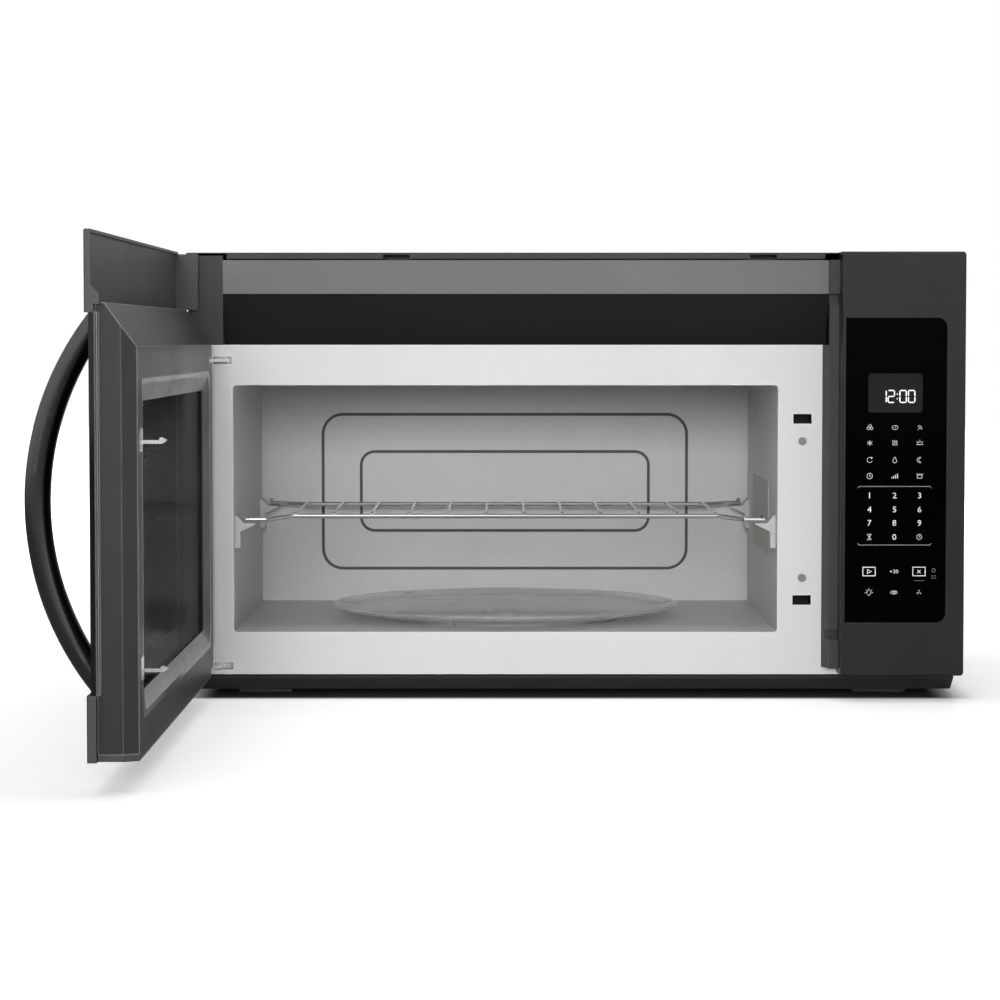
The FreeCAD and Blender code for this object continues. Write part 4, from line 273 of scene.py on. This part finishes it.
FINE = (1100.0, 1100.0, 1100.0)
DOOR_OUTSIDE, PAINTED_GROOVE_SHADE_FROM, BLOCK_INSIDE = -0.3920, 0.1789, -0.1924
STEEL_LOOK = {"shades": ((0.064, 0.061, 0.057), (0.082, 0.079, 0.073)), "rough": (0.3, 0.38),
              "grain": (4.0, 1500.0, 1500.0), "grain_share": 0.5}
SATIN_LOOK = {"shades": ((0.048, 0.048, 0.047), (0.064, 0.064, 0.063)), "rough": (0.36, 0.44),
              "grain": FINE}
DARK_STEEL = finish("dark_steel", metal=1.0, bump=0.000003, **STEEL_LOOK)
BAND_STEEL = parted_finish("band_steel", "X", DOOR_OUTSIDE, {**STEEL_LOOK, "metal": 1.0},
                           SATIN_LOOK, bump=0.000004)
HANDLE_STEEL = finish("handle_steel", ((0.088, 0.087, 0.083), (0.104, 0.103, 0.098)), (0.24, 0.3),
                      1.0, grain=FINE, grain_share=0.4)
DARK_PAINT = finish("dark_paint", ((0.010, 0.010, 0.0098), (0.014, 0.014, 0.0137)), (0.5, 0.6),
                    grain=FINE, bump=0.00001, settings={"Specular IOR Level": 0.25})
CASE_PAINT = finish("case_paint", ((0.019, 0.019, 0.0185), (0.027, 0.027, 0.0263)), (0.34, 0.44),
                    grain=(500.0, 500.0, 500.0), bump=0.00002)
POST_PAINT = finish("post_paint", ((0.030, 0.029, 0.027), (0.040, 0.038, 0.035)), (0.36, 0.46),
                    grain=FINE, bump=0.00001)
BAND_PAINT = finish("band_paint", ((0.125, 0.129, 0.128), (0.15, 0.154, 0.153)), (0.34, 0.44),
                    grain=FINE, bump=0.00001)
# The frame's edges get a near-white painted highlight.
FRAME_PAINT = finish("frame_paint", ((0.60, 0.605, 0.605), (0.66, 0.665, 0.665)), (0.3, 0.36),
                     grain=FINE, grain_share=0.4, bump=0.00001, edge=(0.85, 0.85, 0.85))
ENAMEL_LOOK = {"rough": (0.34, 0.46), "grain": (900.0, 900.0, 900.0), "grain_share": 0.3}
# Past the back wall's plane the grooves' floors are painted near-black: painted shade that draws
# the embossed lines.
CAVITY_PAINT = parted_finish(
    "cavity_paint", "Y", PAINTED_GROOVE_SHADE_FROM,
    {**ENAMEL_LOOK, "shades": ((0.53, 0.53, 0.53), (0.60, 0.60, 0.60)),
     "flecks": (1500.0, 0.16, (0.46, 0.46, 0.46))},
    {**ENAMEL_LOOK, "shades": ((0.07, 0.07, 0.07), (0.095, 0.095, 0.095))})
# The choke's edges get a grey painted highlight.
CHOKE_PAINT = finish("choke_paint", ((0.027, 0.027, 0.026), (0.036, 0.036, 0.035)), (0.32, 0.4),
                      grain=FINE, bump=0.000004, edge=(0.28, 0.28, 0.28),
                      settings={"Specular IOR Level": 0.25})
TRIM_PLASTIC = finish("trim_plastic", ((0.09, 0.094, 0.094), (0.12, 0.124, 0.124)), (0.16, 0.26),
                      settings={"Specular IOR Level": 0.4})
PALE_PLASTIC = finish("pale_plastic", ((0.46, 0.46, 0.45), (0.56, 0.56, 0.55)), (0.34, 0.46))
GREY_PLASTIC = finish("grey_plastic", ((0.036, 0.035, 0.033), (0.048, 0.047, 0.044)), (0.4, 0.52),
                      grain=(800.0, 800.0, 800.0), bump=0.00001)
RAIL_PLASTIC = finish("rail_plastic", ((0.034, 0.034, 0.033), (0.048, 0.048, 0.047)), (0.4, 0.5),
                      grain=(800.0, 800.0, 800.0), bump=0.00001)
BLACK_PLASTIC = finish("black_plastic", ((0.012, 0.012, 0.012), (0.02, 0.02, 0.02)), (0.36, 0.5))
# The interlock block behind the frame is painted near-black: painted shade that keeps the latch
# slots dark.
LATCH_HOUSING = parted_finish(
    "latch_housing", "Y", BLOCK_INSIDE,
    {"shades": ((0.42, 0.42, 0.36), (0.55, 0.55, 0.55)), "rough": (0.25, 0.38), "metal": 1.0},
    {"shades": ((0.008, 0.008, 0.008), (0.014, 0.014, 0.014)), "rough": (0.4, 0.55)})
PLATED = finish("plated_steel", ((0.52, 0.53, 0.54), (0.66, 0.67, 0.68)), (0.26, 0.4), 0.7,
                grain=(260.0, 260.0, 260.0), flecks=(160.0, 0.4, (0.60, 0.61, 0.62)))
BRIGHT_PLATE = finish("bright_plate", ((0.84, 0.85, 0.86), (0.94, 0.95, 0.96)), (0.2, 0.3), 0.85)
MOTOR_STEEL = finish("motor_steel", ((0.40, 0.40, 0.41), (0.55, 0.55, 0.56)), (0.25, 0.4), 1.0)
CORE_STEEL = finish("core_steel", ((0.06, 0.05, 0.045), (0.10, 0.085, 0.07)), (0.3, 0.45), 0.6,
                    grain=(20.0, 2200.0, 20.0))
ALUMINIUM = finish("can_aluminium", ((0.60, 0.61, 0.62), (0.72, 0.73, 0.74)), (0.22, 0.34), 1.0,
                   grain=(20.0, 20.0, 900.0))
MICA = finish("mica", ((0.36, 0.355, 0.345), (0.44, 0.435, 0.36)), (0.35, 0.5),
              grain=(60.0, 400.0, 400.0), flecks=(420.0, 0.2, (0.50, 0.49, 0.47)))
BOARD = finish("board", ((0.02, 0.09, 0.03), (0.035, 0.13, 0.05)), (0.25, 0.35))
CHROME = finish("rack_chrome", ((0.78, 0.78, 0.78), (0.88, 0.88, 0.88)), (0.08, 0.14), 1.0)


def see_through(name, tint, rough, share, step, **settings):
    """Glass seen as a faint body: its alpha is a share, face on, and a step more at its rim."""
    made = finish(name, (tint, tuple(0.92 * part for part in tint)), (rough, rough + 0.05),
                  settings=settings)
    tree = made.node_tree
    facing = add(tree, "LayerWeight", Blend=0.5).outputs["Facing"]
    body = ramp(tree, facing, 0.0, 1.0, share, share + step)
    tree.links.new(body, tree.nodes["Principled BSDF"].inputs["Alpha"])
    return made


CONTROL_GLASS = finish("control_glass", ((0.0006, 0.0006, 0.0006), (0.0009, 0.0009, 0.0009)),
                       (0.05, 0.1), settings={"Specular IOR Level": 0.03})
DOOR_GLASS = finish("door_glass", ((0.004, 0.004, 0.0042), (0.006, 0.006, 0.0062)), (0.03, 0.07),
                    settings={"Specular IOR Level": 0.5})
WINDOW_GLASS = see_through("window_glass", (0.009, 0.009, 0.009), 0.08, 0.4, -0.25,
                           Specular_IOR_Level=0.2)
TRAY_GLASS = see_through("tray_glass", (0.66, 0.67, 0.67), 0.05, 0.2, 0.36)
LENS_GLASS = see_through("lens_glass", (0.05, 0.05, 0.05), 0.2, 0.75, 0.2)


def glow(name, colour, strength):
    """A glowing mark: its own colour, and the same colour given off; on the printed key marks this
    glow is painted light.
    """
    made = finish(name, (colour, colour), (0.4, 0.5))
    shader = made.node_tree.nodes["Principled BSDF"]
    shader.inputs["Emission Color"].default_value = (*colour, 1.0)
    shader.inputs["Emission Strength"].default_value = strength
    return made


# The printed key marks glow faintly: painted light, since print gives off none.
LEGEND = glow("legend_white", (0.75, 0.75, 0.74), 0.15)
LEGEND_DIM = glow("legend_dim", (0.22, 0.22, 0.22), 0.1)
CLOCK = glow("clock_digits", (0.85, 0.86, 0.86), 0.5)
DISPLAY = finish("display_window", ((0.013, 0.013, 0.013), (0.016, 0.016, 0.016)), (0.25, 0.35),
                 settings={"Specular IOR Level": 0.1})


def screen_finish():
    """Black enamel sheet with its punched holes told apart as see-through spots."""
    made = finish("screen_paint", ((0.012, 0.012, 0.012), (0.018, 0.018, 0.018)), (0.6, 0.7),
                  settings={"Specular IOR Level": 0.0})
    tree = made.node_tree
    punched = add(tree, "Group", {"node_tree": HOLES}, Pitch=0.0022, Radius=0.0007)
    solid = maths(tree, "SUBTRACT", 1.0, punched.outputs["Mask"])
    tree.links.new(solid, tree.nodes["Principled BSDF"].inputs["Alpha"])
    return made


SCREEN = screen_finish()

FINISHES = {
    DARK_STEEL: "control_bezel",
    BAND_STEEL: "door_top_band door_bottom_band",
    HANDLE_STEEL: "door_handle",
    CASE_PAINT: "outer_case base_pan",
    DARK_PAINT: "air_ramp",
    POST_PAINT: "left_post",
    BAND_PAINT: "deflector",
    FRAME_PAINT: "front_frame",
    CAVITY_PAINT: "cavity_liner roller_track",
    CHOKE_PAINT: "door_choke",
    TRIM_PLASTIC: "choke_trim",
    PALE_PLASTIC: "rack_clip_front_left rack_clip_front_right rack_clip_back_left"
                  " rack_clip_back_right turntable_coupler roller_ring roller_1 roller_2 roller_3",
    LATCH_HOUSING: "interlock_block",
    GREY_PLASTIC: "panel_jamb",
    RAIL_PLASTIC: "top_rail",
    BLACK_PLASTIC: "cord_gland blower_wheel_left blower_wheel_right cooling_fan",
    BRIGHT_PLATE: "latch_bar hinge_arm_lower hinge_arm_upper door_ear_lower door_ear_upper",
    PLATED: "back_plate waveguide cavity_lamp fan_housing blower_housing",
    MOTOR_STEEL: "magnetron turntable_motor blower_motor blower_shaft",
    CORE_STEEL: "transformer",
    ALUMINIUM: "capacitor grease_filter_left grease_filter_right",
    MICA: "waveguide_cover",
    BOARD: "control_board",
    CHROME: "wire_rack",
    CONTROL_GLASS: "control_glass",
    DOOR_GLASS: "door_glass",
    DISPLAY: "display_module",
    WINDOW_GLASS: "inner_window",
    TRAY_GLASS: "glass_tray",
    LENS_GLASS: "lamp_lens_left lamp_lens_right",
    SCREEN: "window_screen",
}
for made, names in FINISHES.items():
    for name in names.split():
        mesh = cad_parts[name].data
        mesh.materials.clear()
        mesh.materials.append(made)
undressed = set(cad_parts) - set(" ".join(FINISHES.values()).split())
assert not undressed, undressed


# ---------------------------------------------------------------- mesh helpers
def piece(name, points, faces, body, made):
    """A flat-shaded mesh from points in millimetres and faces, riding on a body of the solids."""
    mesh = bpy.data.meshes.new(name)
    points = np.asarray(points, float) * MM
    mesh.from_pydata(points.tolist(), [], [list(map(int, face)) for face in faces])
    mesh.update()
    mesh.shade_flat()
    mesh.materials.append(made)
    made_object = bpy.data.objects.new(name, mesh)
    scene.collection.objects.link(made_object)
    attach(made_object, body)


def ribbon(path, width, closed=False):
    """A flat strip of constant width along a path in the plane, mitred at its corners."""
    path = np.asarray(path, float)
    ahead = np.roll(path, -1, 0) - path
    if not closed:
        ahead[-1] = path[-1] - path[-2]
    ahead /= np.linalg.norm(ahead, axis=1)[:, None]
    behind = np.roll(ahead, 1, 0)
    if not closed:
        behind[0] = ahead[0]
    side_ahead = np.stack([-ahead[:, 1], ahead[:, 0]], 1)
    side_behind = np.stack([-behind[:, 1], behind[:, 0]], 1)
    side = side_ahead + side_behind
    length = np.linalg.norm(side, axis=1)[:, None]
    side = side / np.maximum(length, 1e-6)
    reach = 1 / np.maximum((side * side_ahead).sum(1), 0.5)
    offset = side * (reach * width / 2)[:, None]
    points = np.stack([path + offset, path - offset], 1).reshape(-1, 2)
    count = len(path)
    steps = np.arange(count if closed else count - 1)
    following = (steps + 1) % count
    faces = np.stack([2 * steps, 2 * steps + 1, 2 * following + 1, 2 * following], 1)
    return points, faces


def arc(x, y, radius, start=0.0, stop=360.0, count=24, squeeze=1.0):
    """Points of a circle's arc between two angles in degrees, its height squeezed when asked."""
    turn = np.radians(np.linspace(start, stop, count))
    return np.stack([x + radius * np.cos(turn), y + radius * squeeze * np.sin(turn)], 1)


class Drawing:
    """Flat marks on the control glass, gathered as one mesh, in millimetres across X and Z."""

    def __init__(self):
        self.points, self.faces, self.count = [], [], 0

    def take(self, points, faces):
        self.points.append(np.asarray(points, float))
        self.faces += [[int(corner) + self.count for corner in face] for face in faces]
        self.count += len(points)

    def line(self, path, width, closed=False):
        path = np.asarray(path, float)
        if closed and np.allclose(path[0], path[-1]):
            path = path[:-1]
        self.take(*ribbon(path, width, closed))

    def fill(self, outline):
        outline = np.asarray(outline, float)
        if np.allclose(outline[0], outline[-1]):
            outline = outline[:-1]
        self.take(outline, [list(range(len(outline)))])

    def rays(self, x, z, inner, outer, turns):
        """Short strokes pointing away from a centre."""
        for turn in turns:
            self.line([arc(x, z, inner, turn, turn, 1)[0], arc(x, z, outer, turn, turn, 1)[0]],
                      THIN)

    def text(self, words, x, z, height):
        """Digits from Blender's own face, centred on a point, as flat faces."""
        letters = bpy.data.curves.new("digits", "FONT")
        letters.body, letters.align_x, letters.align_y = words, "CENTER", "CENTER"
        letters.size, letters.resolution_u = 1.0, 3
        holder = bpy.data.objects.new("digits", letters)
        scene.collection.objects.link(holder)
        bpy.context.view_layer.update()
        flat = bpy.data.meshes.new_from_object(holder)
        corners = np.array([corner.co[:2] for corner in flat.vertices], float)
        scale = height / np.ptp(corners[:, 1])
        middle = (corners.max(0) + corners.min(0)) / 2
        corners = (corners - middle) * scale * (DIGIT_STRETCH, 1.0) + (x, z)
        self.take(corners, [list(face.vertices) for face in flat.polygons])
        bpy.data.objects.remove(holder)
        bpy.data.curves.remove(letters)
        bpy.data.meshes.remove(flat)

    def make(self, name, depth, made):
        flat = np.concatenate(self.points)
        points = np.stack([flat[:, 0], np.full(len(flat), depth), flat[:, 1]], 1)
        piece(name, points, self.faces, "cabinet", made)


# ---------------------------------------------------------------- marks on the control glass
COLUMNS = (287.0, 311.35, 335.7)
DIGIT_ROWS = (199.1, 185.5, 172.3, 158.6)
LABEL_ROWS = (265.3, 250.2, 233.7, 218.1)
PANEL_FRONT = -232.7
MARK_DEPTH = PANEL_FRONT - 0.05
WINDOW_DEPTH = PANEL_FRONT - 0.03
DIGIT_HEIGHT, DIGIT_STRETCH = 5.6, 1.06
THIN, LINE, BAR = 0.36, 0.4, 0.75
START_LEVEL, LAMP_LEVEL = 124.9, 104.4


def keypad():
    """The digits, their brackets, the start and stop boxes and the small signs of the keys."""
    bright, dim = Drawing(), Drawing()
    for place, digit in enumerate("123456789"):
        bright.text(digit, COLUMNS[place % 3], DIGIT_ROWS[place // 3], DIGIT_HEIGHT)
    bright.text("0", COLUMNS[1], DIGIT_ROWS[3], DIGIT_HEIGHT)
    left, right = 276.9, 346.0
    for level, turn in ((207.9, -1), (150.8, 1)):
        dim.line([(left - 1.2, level + 1.5 * turn), (left, level), (right, level),
                  (right + 1.2, level + 1.5 * turn)], 0.7)
    for column in (COLUMNS[0], COLUMNS[2]):
        bright.line([(column - 6, 120.7), (column + 6, 120.7), (column + 6, 129.1),
                     (column - 6, 129.1)], BAR, True)
    bright.line([(285.4, 122.9), (285.4, 126.9), (289.2, START_LEVEL)], 0.6, True)
    for way in (-1, 1):
        bright.line([(COLUMNS[2] - 1.6, START_LEVEL - 1.6 * way),
                     (COLUMNS[2] + 1.6, START_LEVEL + 1.6 * way)], 0.6)
    cooking_signs(bright)
    foot_signs(bright)
    lock_sign(dim)
    bright.make("key_marks", MARK_DEPTH, LEGEND)
    dim.make("key_marks_dim", MARK_DEPTH, LEGEND_DIM)


def cooking_signs(bright):
    """Plain pictures for the cooking keys: food, steam, warmth, a clock, a pot and the like."""
    a, b, c = COLUMNS
    row = LABEL_ROWS[0]
    for x, z in ((-1.5, -0.8), (1.5, -0.8), (0.0, 1.4)):
        bright.line(arc(a + x, row + z, 1.35, count=13), LINE, True)
    bright.line(arc(b, row, 2.9, count=21, squeeze=0.68), THIN, True)
    for x, z in ((-1.0, 0.3), (0.8, -0.5), (0.6, 0.8)):
        bright.fill(arc(b + x, row + z, 0.3, count=8))
    leaf = np.concatenate([arc(c - 1.6, row - 1.6, 3.6, 5, 85, 9),
                           arc(c + 1.9, row + 1.9, 3.6, 185, 265, 9)])
    bright.line(leaf, THIN, True)
    bright.line([(c - 2.4, row - 2.4), (c + 1.2, row + 1.2)], THIN)
    row = LABEL_ROWS[1]
    for turn in (0, 60, 120):
        way = np.array([math.cos(math.radians(turn + 90)), math.sin(math.radians(turn + 90))])
        bright.line([np.array([a, row]) - 2.7 * way, np.array([a, row]) + 2.7 * way], LINE)
    wave = np.linspace(-2.6, 2.6, 13)
    for shift in (-1.8, 0.0, 1.8):
        bright.line(np.stack([b + shift + 0.5 * np.sin(wave * 2.2), row + wave], 1), LINE)
    bright.line(arc(c, row - 1.4, 2.6, 0, 180, 13), THIN)
    bright.line([(c - 3.4, row - 1.5), (c + 3.4, row - 1.5)], THIN)
    bright.rays(c, row - 1.4, 3.4, 4.5, (45, 90, 135))
    row = LABEL_ROWS[2]
    bright.line(arc(a, row, 2.5, 50, 340, 17), THIN)
    bright.fill([(a + 1.0, row + 2.9), (a + 2.9, row + 2.4), (a + 1.7, row + 0.9)])
    drop = np.concatenate([[(b, row + 3.0)], arc(b, row - 0.9, 1.9, 25, -205, 13)])
    bright.line(drop, THIN, True)
    bright.line(arc(c, row, 2.6, 60, 300, 15), THIN)
    bright.line(arc(c + 1.5, row, 2.35, 105, 255, 13), THIN)
    row = LABEL_ROWS[3]
    bright.line(arc(a, row, 2.7, count=21), THIN, True)
    bright.line([(a, row + 1.8), (a, row), (a + 1.4, row - 0.6)], LINE)
    for step in range(4):
        x = b - 2.7 + 1.8 * step
        bright.line([(x, row - 2.4), (x, row - 1.2 + 1.2 * step)], BAR)
    bright.line([(c - 2.5, row + 0.9), (c - 2.2, row - 2.2), (c + 2.2, row - 2.2),
                 (c + 2.5, row + 0.9)], 0.42, True)
    bright.line([(c - 3.4, row + 1.9), (c + 3.4, row + 1.9)], THIN)


def foot_signs(bright):
    """The signs beside the nought, the half-minute key and the lamp, tray and fan keys."""
    a, b, c = COLUMNS
    low, lamp = DIGIT_ROWS[3], LAMP_LEVEL
    bright.line([(a - 1.8, low + 2.6), (a + 1.8, low + 2.6), (a - 1.8, low - 2.6),
                 (a + 1.8, low - 2.6)], LINE, True)
    bright.line(arc(c, low, 2.5, count=19), THIN, True)
    bright.line([(c, low + 1.6), (c, low), (c + 1.1, low)], LINE)
    bright.text("+30", b, START_LEVEL, 3.6)
    bright.line(arc(a, lamp, 2.1, -60, 240, 15), THIN)
    bright.line([(a - 0.9, lamp - 2.7), (a + 0.9, lamp - 2.7)], 0.45)
    bright.rays(a, lamp, 3.0, 4.1, (0, 45, 90, 135, 180))
    bright.line(arc(b, lamp, 3.4, count=21, squeeze=0.45), THIN, True)
    bright.line(arc(b, lamp, 1.5, count=15, squeeze=0.45), THIN, True)
    for turn in (90, 210, 330):
        blade = arc(c, lamp, 1.7, turn - 60, turn + 60, 9)
        away = 1.1 * np.array([math.cos(math.radians(turn)), math.sin(math.radians(turn))])
        bright.line(blade * 0.55 + np.array([c, lamp]) * 0.45 + away, THIN)
    bright.fill(arc(c, lamp, 0.5, count=9))


def lock_sign(dim):
    """A small padlock and short dashes beside the stop key."""
    dim.line([(348.6, 124.4), (351.2, 124.4), (351.2, 127.2), (348.6, 127.2)], THIN, True)
    dim.line(arc(349.9, 127.2, 0.9, 0, 180, 9), 0.32)
    for level in (120.6, 118.4):
        dim.line([(347.4, level), (352.4, level)], 0.3)
    dim.line([(330.6, 116.0), (340.8, 116.0)], 0.34)


SEGMENTS = {"0": "abcdef", "1": "bc", "2": "abged"}
CLOCK_DIGITS = (("1", 296.4), ("2", 304.4), ("0", 315.9), ("0", 324.2))


def clock():
    """The lit clock: seven-bar digits on the display's dim window behind the glass."""
    window = Drawing()
    left, right, low, high, round_off = 285.3, 338.0, 279.8, 317.8, 3.0
    foot, colon, dot = 289.7, 313.3, 0.65
    corners = [arc(x, z, round_off, start, start + 90, 7) for x, z, start in (
        (right - round_off, high - round_off, 0), (left + round_off, high - round_off, 90),
        (left + round_off, low + round_off, 180), (right - round_off, low + round_off, 270))]
    window.fill(np.concatenate(corners))
    window.make("clock_window", WINDOW_DEPTH, DISPLAY)
    lit = Drawing()
    height, width, bar, gap = 11.6, 6.2, 1.15, 0.22
    half = height / 2
    bars = {"a": ((0, height), (width, height)), "g": ((0, half), (width, half)),
            "d": ((0, 0), (width, 0)), "f": ((0, half), (0, height)),
            "b": ((width, half), (width, height)), "e": ((0, 0), (0, half)),
            "c": ((width, 0), (width, half))}
    for digit, x in CLOCK_DIGITS:
        for name in SEGMENTS[digit]:
            (x0, z0), (x1, z1) = bars[name]
            along = np.array([x1 - x0, z1 - z0], float)
            along /= np.linalg.norm(along)
            start = np.array([x + x0, foot + z0]) + along * gap
            stop = np.array([x + x1, foot + z1]) - along * gap
            side = np.array([-along[1], along[0]]) * bar / 2
            tip = along * bar / 2
            lit.fill([start, start + tip + side, stop - tip + side, stop, stop - tip - side,
                      start + tip - side])
    for level in (293.2, 297.8):
        lit.fill(arc(colon, level, dot, count=9))
    lit.make("clock_digits", MARK_DEPTH, CLOCK)


keypad()
clock()


# ---------------------------------------------------------------- floor, backdrop and light
FLOOR_LEVEL, FLOOR_REACH = -0.004, 9.0
# The painted shadow under the body: where it is full and where it ends on each axis, and its tone.
PAINTED_SHADOW_EXTENT = (("X", 0.355, 0.41), ("Y", 0.182, 0.210))
FLOOR_TONE, PAINTED_SHADOW_TONE, REFLECTED_TONE = 0.86, 0.05, 0.3
NEAR_LIFT, WHITE_FROM, WHITE_AT = 0.42, 0.9, 2.2
AMBIENT, BACKDROP_REFLECTION, LOW_REFLECTION = 0.2, 0.45, 0.25


def floor_finish():
    """A white floor: it keeps the object's shadow near by and deepens it with a painted shadow, a
    dark patch under the body that only the camera sees; it runs to pure white further off, and is
    clear from below, so that the underside shows.  The patch table says, for each axis, how far
    from the middle the painted shadow under the body is full, and where it ends.
    """
    made, tree, shader = start_finish("floor_white", {"Roughness": 0.9, "Specular IOR Level": 0.0})
    path = add(tree, "LightPath")
    by_camera = path.outputs["Is Camera Ray"]
    where = place_on_piece(tree)
    flat = add(tree, "SeparateXYZ", Vector=where)
    inside = []
    for axis, full, end in PAINTED_SHADOW_EXTENT:
        reach = maths(tree, "ABSOLUTE", flat.outputs[axis])
        inside.append(ramp(tree, reach, full, end, 1.0, 0.0, smooth=True))
    # A painted shadow: under the body the camera sees the floor's colour darkened and its lift
    # taken away.
    painted_shadow_mask = maths(tree, "MULTIPLY", *inside)
    near = ramp(tree, painted_shadow_mask, 0.0, 1.0, NEAR_LIFT, 0.0)
    painted_shadow_seen = maths(tree, "MULTIPLY", painted_shadow_mask, by_camera)
    tone_with_painted_shadow = ramp(tree, painted_shadow_seen, 0.0, 1.0, FLOOR_TONE, PAINTED_SHADOW_TONE)
    plain = add(tree, "CombineColor", i0=tone_with_painted_shadow, i1=tone_with_painted_shadow, i2=tone_with_painted_shadow).outputs[0]
    tone = mix_colours(tree, path.outputs["Is Glossy Ray"], plain, (*[REFLECTED_TONE] * 3, 1.0))
    tree.links.new(tone, shader.inputs["Base Color"])
    away = add(tree, "VectorMath", {"operation": "LENGTH"}, i0=where).outputs["Value"]
    far = ramp(tree, away, WHITE_FROM, WHITE_AT, smooth=True)
    seen = maths(tree, "MULTIPLY", maths(tree, "ADD", near, far), by_camera)
    shader.inputs["Emission Color"].default_value = (1.0, 1.0, 1.0, 1.0)
    tree.links.new(seen, shader.inputs["Emission Strength"])
    solid = maths(tree, "SUBTRACT", 1.0, add(tree, "NewGeometry").outputs["Backfacing"])
    tree.links.new(solid, shader.inputs["Alpha"])
    return made


def lay_floor():
    """One wide square under the oven."""
    mesh = bpy.data.meshes.new("floor")
    corners = ((-1, -1), (1, -1), (1, 1), (-1, 1))
    mesh.from_pydata([(x * FLOOR_REACH, y * FLOOR_REACH, FLOOR_LEVEL) for x, y in corners], [],
                     [(0, 1, 2, 3)])
    mesh.materials.append(floor_finish())
    floor = bpy.data.objects.new("floor", mesh)
    floor.visible_shadow = False
    scene.collection.objects.link(floor)


def light_world():
    """A world that is white where it is seen and graded where it is reflected."""
    world = bpy.data.worlds.new("studio")
    scene.world = world
    world.use_nodes = True
    tree = world.node_tree
    back = tree.nodes["Background"]
    path = add(tree, "LightPath")
    seen = maths(tree, "MAXIMUM", path.outputs["Is Camera Ray"],
                 path.outputs["Is Transmission Ray"])
    parts = add(tree, "SeparateXYZ", Vector=add(tree, "TexCoord").outputs["Generated"])
    before = ramp(tree, parts.outputs["Z"], -0.14, 0.1, LOW_REFLECTION, 1.0)
    behind = ramp(tree, parts.outputs["Y"], 0.1, 0.7)
    graded = mix_values(tree, behind, before, BACKDROP_REFLECTION)
    glossy = maths(tree, "MULTIPLY", path.outputs["Is Glossy Ray"], graded)
    level = maths(tree, "MAXIMUM", maths(tree, "MAXIMUM", seen, glossy), AMBIENT)
    back.inputs["Color"].default_value = (1.0, 1.0, 1.0, 1.0)
    tree.links.new(level, back.inputs["Strength"])


def softbox(name, place, target, width, height, power, reflected=True, spread=None):
    """A rectangular lamp at a place, turned to face a target; its spread is in degrees."""
    light = bpy.data.lights.new(name, "AREA")
    light.shape, light.size, light.size_y, light.energy = "RECTANGLE", width, height, power
    if spread:
        light.spread = math.radians(spread)
    lamp = bpy.data.objects.new(name, light)
    lamp.location = place
    lamp.visible_glossy = reflected
    aim = np.array(target, float) - np.array(place, float)
    down = math.atan2(math.hypot(aim[0], aim[1]), -aim[2])
    lamp.rotation_euler = (down, 0.0, math.atan2(aim[1], aim[0]) - math.pi / 2)
    scene.collection.objects.link(lamp)


lay_floor()
light_world()
softbox("front", (-0.24, -3.4, 0.70), (-0.14, 0.0, 0.2), 1.1, 0.66, 3.0, False, 32.0)
softbox("key", (-0.9, -2.4, 2.2), (0.0, -0.2, 0.15), 1.6, 1.2, 14.0)
softbox("top", (0.0, -0.2, 2.4), (0.0, -0.1, 0.2), 2.2, 1.6, 26.0)
softbox("back", (0.5, 3.2, 1.3), (0.0, 0.2, 0.2), 2.4, 1.6, 50.0, False)
softbox("under", (0.0, -0.6, -2.0), (0.0, -0.1, 0.0), 2.0, 1.4, 16.0, False)
scene.view_settings.view_transform = "Standard"
